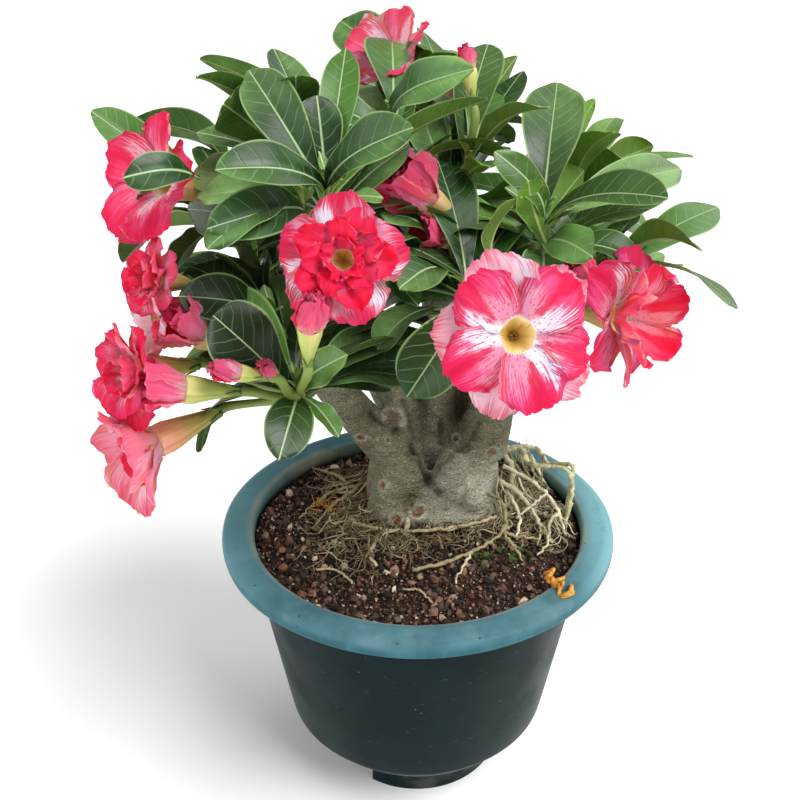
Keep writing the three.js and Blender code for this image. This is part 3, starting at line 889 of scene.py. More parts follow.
@dataclass
class Pot:
    """A lathe-round plastic pot with a rolled rim and a foot ring."""

    height: float = 190.0
    rim: float = 130.0
    mouth: float = 109.5
    lip: float = 10.0
    wall: float = 3.0
    floor: float = 4.0
    top: float = 112.0
    waist: float = 91.0
    waist_height: float = 48.0
    foot: float = 60.0
    foot_height: float = 14.0
    hole: float = 18.0
    gap_bearings: tuple[float, ...] = (105.0, 225.0, 345.0)
    gap_width: float = 28.0
    gap_height: float = 11.0
    sides: int = 120
    foot_steps: int = 40

    def outline(self) -> np.ndarray:
        """The section, from the hole in the floor up the outside and down the inside.

        Returns:
            Pairs of radius and height.
        """
        h, low = self.height, self.height - self.lip
        out, up = self.waist - self.foot, self.waist_height - self.foot_height
        bowl = [
            (self.foot + out * t + 5 * t * (1 - t), self.foot_height + up * t)
            for t in (0.0, 0.2, 0.4, 0.6, 0.8)
        ]
        corners = [
            (self.hole, self.foot_height), *bowl, (self.waist, self.waist_height),
            (self.waist + 2.2, self.waist_height + 12), (self.top - 1.2, low - 14), (self.top, low - 0.6),
            (self.top + 4, low + 0.6), (self.rim - self.wall - 1.5, low + 0.2),
            (self.rim - self.wall, low - 0.8), (self.rim - 0.6, low), (self.rim, low + 4),
            (self.rim - 1.2, h - 2), (self.rim - 6, h), (self.mouth + 5, h), (self.mouth + 0.5, h - 1.5),
            (self.mouth - 1, h - 6), (self.top - self.wall, low - 3),
            (self.waist - self.wall, self.waist_height), (self.foot, self.foot_height + self.floor),
            (self.hole, self.foot_height + self.floor),
        ]
        return rounded(np.array(corners), 1.6)

    def build(self) -> None:
        """Makes the pot."""
        body = Body()
        line = self.outline()
        angle = full_turn(self.sides)
        r, z = line[:, 0], line[:, 1]
        sag = 0.35 * np.sin(3 * angle + 0.7) + 0.2 * np.sin(7 * angle)
        reach = r[:, None] + sag[None] * smoothstep(z, 20, 60)[:, None]
        tall = np.repeat(z[:, None], self.sides, 1)
        points = np.stack([reach * np.cos(angle), reach * np.sin(angle), tall], axis=2)
        body.add(points, [grid_faces(len(line), self.sides, wrap=True)], pot=self._marks(points))
        hole = np.stack([self._ring(*line[-1], angle), self._ring(*line[0], angle)])
        body.add(hole, [grid_faces(2, self.sides, wrap=True)], pot=self._marks(hole))
        self._foot(body)
        body.make("pot_shell", [PlasticFinish().material()], "pot_plastic", ["pot", "pot_foot"])

    def _ring(self, radius: float, z: float, angle: np.ndarray) -> np.ndarray:
        """A level ring of points."""
        return np.stack([radius * np.cos(angle), radius * np.sin(angle), np.full(len(angle), z)], axis=1)

    def _marks(self, points: np.ndarray) -> np.ndarray:
        """Where the rim's top is painted lighter as painted light, where the plastic is dusty inside and
        where it is splashed low down.

        Args:
            points: A grid of places in mm.

        Returns:
            Those three numbers for each place.
        """
        r = np.hypot(points[..., 0], points[..., 1])
        z = points[..., 2]
        # Painted light: 1 on the rim's top, 0.12 on the lip's side and 0 on the body.
        painted_lit_rim = smoothstep(z, self.height - self.lip - 1, self.height - self.lip + 1) * 0.12
        painted_lit_rim += 0.88 * smoothstep(z, self.height - 7.5, self.height - 1.5)
        inside = smoothstep(z, self.height - 9, self.height - 3)
        inside = inside * (1 - smoothstep(r, self.mouth + 1, self.mouth + 5)) * 0.5
        side = np.degrees(np.arctan2(points[..., 1], points[..., 0]))
        chalk = np.exp(-(((side - 131) / 24) ** 2)) * smoothstep(z, self.height - 14, self.height - 6)
        inside = np.maximum(inside, chalk * (1 - smoothstep(r, self.mouth, self.mouth + 3)))
        low = 1 - smoothstep(z, 4, 30)
        return np.stack([painted_lit_rim, inside, low], axis=-1)

    def _foot(self, body: Body) -> None:
        """Adds the foot ring, whose underside steps up at the drain gaps.

        Args:
            body: The pot's body.
        """
        half = math.degrees(self.gap_width / 2 / self.foot)
        turn = 360 / len(self.gap_bearings)
        arcs = [(gap + half, gap + turn - half, 0.0) for gap in self.gap_bearings]
        arcs += [(gap - half, gap + half, self.gap_height) for gap in self.gap_bearings]
        outer, inner, top, steps = self.foot, self.foot - self.wall, self.foot_height, self.foot_steps
        for start, end, low in arcs:
            bearings = np.radians(np.linspace(start, end, steps))
            corners = [(outer + 2.5, top + 2), (outer, top - 1), (outer, low), (inner, low), (inner, top + 2)]
            r, z = rounded(np.array(corners), 0.6).T
            tall = np.tile(z, (steps, 1))
            points = np.stack([np.outer(np.sin(bearings), r), np.outer(np.cos(bearings), r), tall], axis=2)
            n = len(r)
            faces = [grid_faces(steps, n, wrap=True), np.arange(n)[::-1], (steps - 1) * n + np.arange(n)]
            body.add(points, faces, pot=self._marks(points))


def rounded(corners: np.ndarray, radius: float, steps: int = 3) -> np.ndarray:
    """An open line with its inner corners rounded.

    Args:
        corners: Its corners, in two dimensions.
        radius: The length that each rounding takes from a side.
        steps: How many stretches a rounding has.

    Returns:
        The points of the rounded line.
    """
    line = [corners[0]]
    for before, at, after in zip(corners, corners[1:], corners[2:]):
        cut = min(radius, np.linalg.norm(at - before) / 2.2, np.linalg.norm(after - at) / 2.2)
        start, end = at + cut * unit(before - at), at + cut * unit(after - at)
        t = np.linspace(0, 1, steps + 1)[:, None]
        line += list((1 - t) ** 2 * start + 2 * t * (1 - t) * at + t**2 * end)
    return np.array([*line, corners[-1]])


# ---------------------------------------------------------------- soil


@dataclass
class Soil:
    """The soil bed and the loose grit on it."""

    edge: float = 178.0
    mound: float = 185.0
    radius: float = 108.5
    grains: int = 3500
    fine_grains: int = 10500
    rings: int = 46
    sides: int = 128
    skirt: float = 14.0
    moss_spots: tuple[Triple, ...] = ((62, -34, 17), (84, -22, 14), (40, -40, 9), (-40, -60, 5))

    def level(self, x: np.ndarray, y: np.ndarray) -> np.ndarray:
        """The height of the soil at some places.

        Args:
            x: How far to the right each is.
            y: How far back each is.

        Returns:
            The heights.
        """
        r = np.hypot(x, y)
        heights = [self.mound, self.mound, self.edge + 3, self.edge, self.edge]
        base = np.interp(r, [0, 45, 70, 106, 120], heights)
        hills = 1.6 * np.sin(x / 17 + 1.3) * np.cos(y / 14 - 0.6) + 0.9 * np.sin(x / 7 - y / 9)
        return base + hills * (1 - smoothstep(r, 90, 106) * 0.6)

    def build(self) -> None:
        """Makes the bed and its grit."""
        bed = Body()
        angle = full_turn(self.sides)
        radii = np.linspace(0.5, self.radius, self.rings)
        x, y = np.outer(radii, np.cos(angle)), np.outer(radii, np.sin(angle))
        rough = np.array([noise.noise(Vector((a / 3.1, b / 3.1, 0.4))) for a, b in zip(x.ravel(), y.ravel())])
        z = self.level(x, y) + 0.9 * rough.reshape(x.shape) - 0.8
        skirt = np.stack([x[-1], y[-1], np.full(self.sides, self.edge - self.skirt)], axis=1)
        points = np.concatenate([np.stack([x, y, z], axis=2), skirt[None]])
        cap = np.arange(self.sides)[::-1]
        faces = grid_faces(self.rings + 1, self.sides, wrap=True)
        bed.add(points, [faces, self.rings * self.sides + cap, cap])
        bed.make("soil_bed", [SoilFinish().bed()], "potting_mix", ["soil"])
        rng = np.random.default_rng(11)
        self._scatter(rng, "soil_fines", self.fine_grains, (0.5, 1.7), octahedron())
        self._scatter(rng, "soil_grit", self.grains, (0.9, 3.4), icosahedron())

    def _scatter(
        self, rng: Rng, name: str, n: int, sizes: tuple[float, float], solid: tuple[np.ndarray, np.ndarray]
    ) -> None:
        """Scatters grains of one kind.

        Args:
            rng: The source of chance.
            name: The piece's name.
            n: How many grains.
            sizes: The radii of the smallest and the largest.
            solid: The points and faces that a grain is a lumpy copy of.
        """
        size = sizes[0] + (sizes[1] - sizes[0]) * rng.random(n) ** 4.0
        r = np.sqrt(rng.random(n)) * (self.radius - size * 0.7)
        angle = rng.random(n) * 2 * math.pi
        x, y = r * np.cos(angle), r * np.sin(angle)
        z = self.level(x, y) + size * (rng.random(n) * 0.9 - 0.15)
        shape, faces = solid
        many = len(shape)
        spin = np.linalg.qr(rng.normal(size=(n, 3, 3)))[0]
        squash = 0.5 + 0.65 * rng.random((n, 1, 3))
        lumpy = shape[None] * (0.6 + 0.8 * rng.random((n, many, 1)))
        points = np.einsum("nij,nkj->nki", spin, lumpy * squash) * size[:, None, None]
        points += np.stack([x, y, z], axis=1)[:, None]
        moss = np.zeros(n)
        for mx, my, mr in self.moss_spots:
            moss = np.maximum(moss, 1 - smoothstep(np.hypot(x - mx, y - my), mr * 0.4, mr))
        moss *= rng.random(n) < 0.7
        marks = np.stack([rng.random(n), rng.random(n) ** 2, moss * 0.9], axis=1)
        marks = np.repeat(marks[:, None], many, axis=1)
        every = (faces[None] + many * np.arange(n)[:, None, None]).reshape(-1, 3)
        body = Body()
        body.add(points, [every], grain=marks)
        body.make(name, [SoilFinish().grit()], "potting_mix", [], flat=True)


def octahedron() -> tuple[np.ndarray, np.ndarray]:
    """The points and faces of a lump with eight facets.

    Returns:
        Its points, and its triangles as point numbers.
    """
    points = np.array([(1, 0, 0), (-1, 0, 0), (0, 1, 0), (0, -1, 0), (0, 0, 1), (0, 0, -1)], dtype=float)
    faces = np.array([(0, 2, 4), (2, 1, 4), (1, 3, 4), (3, 0, 4), (2, 0, 5), (1, 2, 5), (3, 1, 5), (0, 3, 5)])
    return points, faces


def icosahedron() -> tuple[np.ndarray, np.ndarray]:
    """The points and faces of a ball with twenty facets.

    Returns:
        Its points, and its triangles as point numbers.
    """
    g = (1 + 5**0.5) / 2
    points = np.array([
        (-1, g, 0), (1, g, 0), (-1, -g, 0), (1, -g, 0), (0, -1, g), (0, 1, g), (0, -1, -g), (0, 1, -g),
        (g, 0, -1), (g, 0, 1), (-g, 0, -1), (-g, 0, 1),
    ])
    faces = np.array([
        (0, 11, 5), (0, 5, 1), (0, 1, 7), (0, 7, 10), (0, 10, 11), (1, 5, 9), (5, 11, 4), (11, 10, 2),
        (10, 7, 6), (7, 1, 8), (3, 9, 4), (3, 4, 2), (3, 2, 6), (3, 6, 8), (3, 8, 9), (4, 9, 5), (2, 4, 11),
        (6, 2, 10), (8, 6, 7), (9, 8, 1),
    ])
    return points / np.linalg.norm(points[0]), faces


@dataclass
class Litter:
    """What has dropped on the soil: a curled orange strip by the rim and a tuft of brown fluff."""

    curl: tuple[Triple, ...] = (
        (79, -60, 187), (82, -65, 192), (79, -70, 188), (84, -72, 192), (81, -77, 190), (86, -80, 194),
        (84, -86, 190), (88, -88, 193), (90, -82, 190), (86, -76, 187), (88, -71, 191),
    )
    curl_steps: int = 60
    tuft: Triple = (-62.5, 18.0, 187.0)
    threads: int = 14

    def build(self) -> None:
        """Makes the litter."""
        rng = np.random.default_rng(5)
        body = Body()
        for _ in range(2):
            bends = np.array(self.curl) + rng.normal(size=(len(self.curl), 3)) * vec(1.6, 1.6, 0.8)
            radii = spread((0.7, 1.5, 0.9, 1.6, 0.6), self.curl_steps + 1)
            body.tube(through(bends, self.curl_steps), radii, 6)
        for _ in range(self.threads):
            start = np.array(self.tuft) + rng.normal(size=3) * vec(4, 4, 0.6)
            middle = start + rng.normal(size=3) * vec(4, 4, 2) + vec(0, 0, 1)
            end = start + rng.normal(size=3) * vec(6, 6, 1)
            body.tube(through([start, middle, end], 10), np.full(11, 0.26), 4)
        shade = Shade("dried_litter", Specular_IOR_Level=0.3)
        cloud = shade.grain(260.0, 3.0)
        shade.colour = shade.blend(cloud.ease(0.35, 0.65), (178, 112, 30), (222, 164, 70))
        body.make("dried_litter", [shade.wear(0.6, cloud, 0.4)], "potting_mix", [])


# ---------------------------------------------------------------- trunk


@dataclass(frozen=True)
class Limb:
    """A round limb: the places it passes and the radii it runs through."""

    points: tuple[Triple, ...]
    radii: tuple[float, ...]


@dataclass(frozen=True)
class Scar:
    """A mark on the bark: its place, radius, and how corky, dark and raised it is."""

    at: Triple
    radius: float
    cork: float = 1.0
    dark: float = 0.0
    raised: float = 1.0


@dataclass(frozen=True)
class Crease:
    """A groove where two limbs meet, painted darker along its line as painted shade: the places it passes,
    its half width, depth and darkness.
    """

    points: tuple[Triple, ...]
    width: float
    depth: float
    dark: float


LIMBS = (
    Limb(((-13, 32, 158), (-13, 30, 190), (-14, 26, 222), (-20, 22, 242)), (21, 23, 19, 14)),
    Limb(((34, 34, 158), (34, 32, 188), (34, 30, 215), (41, 28, 238)), (24.5, 25, 22.5, 17.5)),
    Limb(((12, 44, 158), (12, 44, 200), (14, 42, 234)), (31, 30, 22)),
    Limb(
        ((-16, 24, 225), (-34, 16, 252), (-50, 8, 276), (-62, -6, 300), (-70, -20, 318)),
        (16, 13, 12, 10, 7),
    ),
    Limb(
        ((-8, 28, 226), (-10, 25, 256), (-15, 20, 284), (-32, 8, 335), (-48, -8, 372)),
        (15, 11, 10, 9, 6),
    ),
    Limb(((10, 40, 220), (13, 38, 252), (15, 33, 285), (13, 28, 335), (8, 18, 385)), (17, 12, 10, 9, 6)),
    Limb(((42, 30, 226), (48, 26, 250), (55, 20, 278), (66, 8, 325), (68, 0, 368)), (20, 14, 11, 9, 6)),
    Limb(((14, 52, 220), (14, 62, 268), (13, 66, 318), (10, 68, 372)), (18, 12, 9, 6)),
    Limb(((-2, 52, 222), (-24, 66, 262), (-46, 74, 300)), (18, 12, 7)),
    Limb(((30, 54, 222), (54, 68, 268), (74, 72, 308)), (18, 12, 7)),
    Limb(((36.6, 1.9, 196.3), (36.6, -1.1, 203.3), (37.1, -2.6, 210.3)), (6.5, 6.2, 3.4)),
    Limb(((-32, 18, 176), (-20, 4, 182), (0, 0, 184), (30, 2, 184), (56, 14, 182)), (8, 9, 9, 9, 8)),
    Limb(((20, 14, 210), (24, 9, 224), (28, 9, 236)), (12, 11, 8)),
    Limb(((-6, 16, 206), (-4, 12, 218), (-4, 14, 230)), (12, 11, 8)),
    Limb(((-20, 16, 176), (-17, 16, 196), (-15, 22, 214)), (16, 15, 12)),
    Limb(((4, 14, 176), (6, 14, 190), (8, 22, 208)), (14, 13, 10)),
    Limb(((34, 18, 176), (34, 17, 194), (34, 22, 212)), (20, 18, 14)),
)

SCARS = (
    Scar((-23.2, 7.1, 208.1), 3.8, 1.0, 0.0, 0.4),
    Scar((-36.3, 4.3, 247.1), 3.8, 0.8, 0.4, 0.8),
    Scar((-15.0, 16.0, 255.5), 8.0, 0.4, 0.15, 1.2),
    Scar((-12.5, 11.0, 258.5), 2.0, 0.8, 0.9, 0.4),
    Scar((-18.5, 12.0, 255.5), 1.8, 0.8, 0.9, 0.4),
    Scar((-18.9, 7.8, 242.8), 2.6, 0.5, 0.2, 0.6),
    Scar((26.0, 17.6, 237.9), 3.4, 0.6, 1.0, 1.1),
    Scar((0.7, -2.1, 194.2), 6.2, 0.85, 0.45, 2.4),
    Scar((-14.0, -5.4, 190.1), 5.6, 0.8, 0.45, 2.2),
    Scar((49.6, 11.2, 230.8), 4.4, 0.5, 0.2, 1.0),
    Scar((-6.0, 12.0, 226.0), 2.2, 0.7, 0.4, 0.6),
    Scar((14.0, 14.0, 212.0), 2.4, 0.6, 0.3, 0.6),
)

CREASES = (
    Crease(
        ((8, 12, 206), (5, 8.4, 218), (1.4, 8.2, 226), (-2.5, 14.7, 232), (-6, 16.8, 239),
         (-14, 14.3, 247), (-22, 10.4, 255), (-29, 8.2, 262)),
        2.6, 3.6, 0.8,
    ),
    Crease(((8, 12, 206), (11.7, 18.9, 218.7), (16.4, 22, 229.4), (16.3, 26.4, 246)), 2.6, 3.0, 0.75),
    Crease(
        ((12, 8, 214), (13.8, 5.2, 223), (21.4, 1.7, 233.4), (30.3, 9.7, 235.5), (35, 13.4, 239.4),
         (39.8, 12.6, 251.8)),
        2.4, 1.8, 0.45,
    ),
    Crease(((-9.1, 12.4, 268.3), (-4.5, 14.8, 253.8), (-1.2, 16.7, 237.8)), 2.2, 2.0, 0.55),
    # These two have no depth: they are only painted shade, over the middle and right limbs.
    Crease(((3, 24, 262), (2.9, 24.3, 245), (9, 23.3, 234), (8, 20, 222)), 8.0, 0.0, 0.4),
    Crease(((27, 34, 262), (26, 30, 246), (27, 18, 241)), 9.0, 0.0, 0.35),
    Crease(
        ((14, 10, 200), (28.7, 0.8, 197), (40, 4, 206), (46, 9.4, 219), (49.3, 10.9, 237)), 3.0, 1.2, 0.2,
    ),
)


@dataclass
class Trunk:
    """The swollen trunk and its branches, grown as one piece."""

    voxel: float = 1.55
    limb_steps: int = 10
    limb_sides: int = 22

    def build(self) -> None:
        """Makes the trunk."""
        rough = Body()
        for limb in LIMBS:
            steps = self.limb_steps * (len(limb.points) - 1)
            rough.tube(through(limb.points, steps), spread(limb.radii, steps + 1), self.limb_sides)
        piece = rough.make("trunk_bark", [], "bark", ["trunk"])
        shrink = piece.modifiers.new("skin", "REMESH")
        shrink.mode, shrink.voxel_size = "VOXEL", self.voxel * MM
        settle = piece.modifiers.new("settle", "SMOOTH")
        settle.factor, settle.iterations = 0.5, 4
        ready = piece.evaluated_get(bpy.context.evaluated_depsgraph_get())
        mesh = bpy.data.meshes.new_from_object(ready)
        piece.modifiers.clear()
        piece.data = mesh
        self._age(mesh)
        mesh.materials.clear()
        mesh.materials.append(BarkFinish().material())
        LOG.info("trunk_bark: %d faces after remeshing", len(mesh.polygons))

    def _age(self, mesh: bpy.types.Mesh) -> None:
        """Swells and wrinkles the skin, marks its scars, and paints shade along its creases and light on its
        right base.

        Args:
            mesh: The smooth trunk.
        """
        n = len(mesh.vertices)
        at = np.empty(n * 3)
        mesh.vertices.foreach_get("co", at)
        out = np.empty(n * 3)
        mesh.vertices.foreach_get("normal", out)
        at, out = at.reshape(-1, 3) / MM, out.reshape(-1, 3)
        lumps = np.array([noise.noise(Vector((x / 15, y / 15, z / 19))) for x, y, z in at])
        folds = np.array([noise.noise(Vector((x / 5, y / 5, z / 2.2))) for x, y, z in at])
        lift = 1.0 * lumps + 0.2 * folds
        marks, pale = np.zeros((n, 3)), np.zeros(n)
        for scar in SCARS:
            gap = np.linalg.norm(at - np.array(scar.at), axis=1) / scar.radius * (1 + 0.25 * folds)
            disc = 1 - smoothstep(gap, 0.75, 1.05)
            ring = np.exp(-(((gap - 0.9) / 0.24) ** 2))
            lift += scar.raised * (ring * 1.2 - disc * 0.3)
            marks[:, 0] = np.maximum(marks[:, 0], scar.cork * (1 - smoothstep(gap, 0.45, 0.8)))
            pale = np.maximum(pale, ring)
            marks[:, 1] = np.maximum(marks[:, 1], scar.dark * (1 - smoothstep(gap, 0.2, 0.75)))
        for crease in CREASES:
            line = through(crease.points, 40)
            gap = np.min([np.linalg.norm(at - p, axis=1) for p in line], axis=0) / crease.width
            fall = np.exp(-(gap**2))
            lift -= crease.depth * fall
            # Painted shade along the crease.
            marks[:, 1] = np.maximum(marks[:, 1], crease.dark * fall)
        x, z = at[:, 0], at[:, 2]
        # Painted light on the right base, where the light falls.
        painted_light = (1 - smoothstep(z, 206, 246)) * smoothstep(x, -2, 22)
        painted_light = painted_light * (0.55 + 0.45 * smoothstep(z, 184, 204))
        marks[:, 2] = np.maximum(painted_light, pale)
        marks[:, 1] = np.maximum(marks[:, 1], 0.5 * (1 - smoothstep(z, 182, 190)))
        mesh.vertices.foreach_set("co", ((at + out * lift[:, None]) * MM).ravel())
        skin = mesh.attributes.new("bark", "FLOAT_VECTOR", "POINT")
        skin.data.foreach_set("vector", marks.astype(np.float32).ravel())
        mesh.polygons.foreach_set("use_smooth", np.full(len(mesh.polygons), True))
        mesh.update()


# ---------------------------------------------------------------- roots


@dataclass(frozen=True)
class Strand:
    """A root whose course is listed: its places, its radius at both ends and how green it is."""

    points: tuple[Triple, ...]
    radii: tuple[float, float]
    green: float = 0.0


@dataclass(frozen=True)
class RootMat:
    """A mat of fine roots: the node it stands for, its strands, and a fan of fine ones.

    fans holds rows of x, y, z, bearing, half spread of bearings, count and length.
    """

    node: str
    strands: tuple[Strand, ...]
    fans: tuple[tuple[float, ...], ...]
    fair: float = 0.3


MATS = (
    RootMat(
        "root_mat_left",
        (
            Strand(((-26, 34, 196), (-44, 34, 191), (-62, 30, 187), (-80, 8, 183)), (1.7, 0.8)),
            Strand(((-44, 34, 191), (-56, 50, 190), (-66, 66, 184), (-78, 80, 180)), (1.4, 0.7)),
            Strand(((-40, 30, 193), (-58, 14, 188), (-70, -8, 184)), (1.5, 0.7)),
        ),
        (
            (-36, 36, 197, -80, 60, 16, 46), (-34, 26, 193, -110, 50, 16, 40),
            (-34, 16, 188, -140, 40, 14, 34), (-34, 46, 192, -50, 40, 12, 44),
            (-44, 4, 187, -120, 60, 10, 36),
        ),
    ),
    RootMat(
        "root_mat_front",
        (
            Strand(((-4, 14, 192), (-6, -4, 190), (-8, -18, 188)), (2.2, 1.7)),
            Strand(
                ((-50, -2, 187), (-30, -14, 189), (-8, -18, 188.5), (12, -16, 189), (36, -12, 190),
                 (54, -4, 191)),
                (1.5, 1.1), 0.1,
            ),
            Strand(((-22, -18, 189), (-30, -38, 187), (-24, -52, 184), (-12, -58, 184)), (1.4, 0.9)),
            Strand(
                ((-4, -56, 186), (14, -52, 188), (34, -40, 188), (52, -26, 190), (58, -14, 194),
                 (56, 2, 199), (44, 10, 202)),
                (1.3, 1.0), 0.2,
            ),
            Strand(((56, -22, 190), (62, -34, 187), (66, -44, 184)), (1.1, 0.6), 0.3),
            Strand(((56, -22, 190), (70, -26, 189), (80, -22, 185)), (1.1, 0.6), 0.3),
            Strand(((34, -40, 188), (26, -56, 186), (22, -66, 183)), (1.0, 0.5)),
            Strand(((-64, -52, 184), (-50, -56, 186), (-40, -66, 184)), (0.8, 0.6)),
            Strand(((-10, -72, 184), (0, -76, 186), (8, -84, 183)), (0.8, 0.5)),
        ),
        (
            (-40, -8, 189, 190, 50, 22, 40), (-26, -16, 189, 180, 60, 22, 40),
            (-8, -18, 189, 175, 55, 18, 36), (12, -17, 189, 170, 60, 14, 26),
            (34, -12, 189, 165, 50, 12, 26), (-48, -2, 188, 220, 60, 16, 30),
        ),
    ),
    RootMat(
        "root_mat_right",
        (
            Strand(((56, 20, 204), (70, 10, 199), (80, -6, 190), (88, -22, 182)), (1.7, 0.9)),
            Strand(((60, 30, 210), (78, 18, 204), (92, 4, 196), (98, -14, 183)), (1.6, 0.9), 0.3),
            Strand(((58, 24, 200), (66, 6, 194), (68, -8, 188), (64, -20, 184)), (1.5, 0.8)),
            Strand(((86, 8, 200), (76, 0, 196), (66, -4, 190)), (1.2, 0.7)),
            Strand(((96, 2, 192), (88, -10, 190), (84, -26, 184), (76, -36, 182)), (1.2, 0.6), 0.3),
        ),
        (
            (60, 22, 204, 130, 80, 14, 48), (60, 16, 198, 150, 80, 14, 42),
            (64, 34, 208, 105, 80, 10, 44), (76, 10, 196, 150, 120, 16, 34),
            (88, 2, 192, 160, 120, 12, 30), (58, 8, 192, 175, 80, 12, 34),
            (82, -8, 188, 200, 120, 10, 30),
        ),
        fair=0.62,
    ),
    RootMat(
        "root_arch_right",
        (
            Strand(
                ((52, 38, 218), (62, 40, 216), (72, 44, 217), (84, 44, 215), (92, 38, 206)),
                (2.0, 1.5), 0.4,
            ),
            Strand(
                ((72, 44, 217), (78, 34, 210), (86, 26, 212), (98, 22, 213), (104, 14, 209),
                 (102, 2, 192), (98, -6, 182)),
                (1.9, 1.2), 0.7,
            ),
            Strand(
                ((92, 38, 206), (100, 30, 211), (106, 22, 213), (103, 12, 200), (99, 4, 186)),
                (1.7, 1.1), 0.7,
            ),
            Strand(((60, 42, 214), (66, 34, 206), (66, 22, 198), (62, 8, 192)), (2.4, 1.3), 0.4),
            Strand(((50, 46, 206), (66, 58, 208), (80, 62, 202), (92, 50, 184)), (2.2, 1.3), 0.4),
            Strand(((66, 58, 208), (66, 74, 198), (58, 86, 184)), (1.8, 1.0), 0.2),
        ),
        ((64, 44, 214, 95, 60, 8, 50), (78, 44, 212, 120, 80, 8, 42)),
        fair=0.62,
    ),
)


@dataclass
class Roots:
    """The surface roots, which leave the trunk and run over the soil."""

    soil: Soil
    crowd: float = 1.35
    strand_steps: int = 8
    fine_step: float = 2.4

    def build(self) -> None:
        """Makes the mats."""
        rng = np.random.default_rng(23)
        skin = RootFinish().material()
        for mat in MATS:
            body = Body()
            for strand in mat.strands:
                steps = self.strand_steps * (len(strand.points) - 1)
                path = through(strand.points, steps) + rng.normal(size=(steps + 1, 3)) * 0.5 * vec(1, 1, 0.5)
                radii = spread(strand.radii, steps + 1) * (1 + 0.14 * rng.normal(size=steps + 1))
                body.tube(path, radii, 8, root=vec(mat.fair + rng.uniform(0.1, 0.4), strand.green, 0))
            for fan in mat.fans:
                self._fan(body, rng, mat.fair, fan)
            body.make(mat.node + "_fibres", [skin], "root", [mat.node])

    def _fan(self, body: Body, rng: Rng, fair: float, fan: tuple[float, ...]) -> None:
        """Adds fine roots that wander out from a place and come to lie on the soil.

        Args:
            body: The mat's body.
            rng: The source of chance.
            fair: How pale the roots are.
            fan: A row of the mat's fans.
        """
        x, y, z, bearing, half, count, length = fan
        for _ in range(int(count * self.crowd)):
            at = vec(x, y, z) + rng.normal(size=3) * vec(7, 6, 2.5)
            way = bearing + rng.uniform(-half, half)
            reach = length * rng.uniform(0.4, 1.2)
            self._wander(body, rng, at, way, reach, 0.24 + 0.62 * rng.random() ** 2, fair)

    def _wander(
        self,
        body: Body,
        rng: Rng,
        at: np.ndarray,
        bearing: float,
        length: float,
        radius: float,
        fair: float,
        depth: int = 0,
    ) -> None:
        """Adds one fine root and its own side roots.

        Args:
            body: The mat's body.
            rng: The source of chance.
            at: Where it starts.
            bearing: Which way it sets out.
            length: Its length.
            radius: Its radius at the start.
            fair: How pale it is.
            depth: How many roots it is away from the trunk.
        """
        steps = max(6, int(length / self.fine_step))
        path = [at]
        turn = rng.normal() * 3
        ride = rng.uniform(0.8, 7.5)
        for i in range(steps):
            turn = 0.7 * turn + rng.normal() * 17
            bearing += turn
            new = path[-1] + heading(bearing, 0) * length / steps
            if np.hypot(new[0], new[1]) > self.soil.radius - 3:
                break
            ground = float(self.soil.level(new[0], new[1])) + ride * (1 - i / steps) + 0.4
            new[2] = path[-1][2] + (ground - path[-1][2]) * 0.22 + rng.normal() * 0.35
            new[2] = max(new[2], ground - ride)
            path.append(new)
            if depth < 2 and rng.random() < 0.13 and i > 1:
                way = bearing + rng.choice([-1, 1]) * rng.uniform(25, 60)
                self._wander(body, rng, new, way, length * 0.4, radius * 0.8, fair, depth + 1)
        if len(path) < 4:
            return
        radii = np.linspace(radius, radius * 0.4, len(path)) * (1 + 0.12 * rng.normal(size=len(path)))
        body.tube(np.array(path), radii, 4, root=vec(fair + rng.uniform(-0.35, 0.35), 0.15 * rng.random(), 0))


# ---------------------------------------------------------------- leaves and shoots


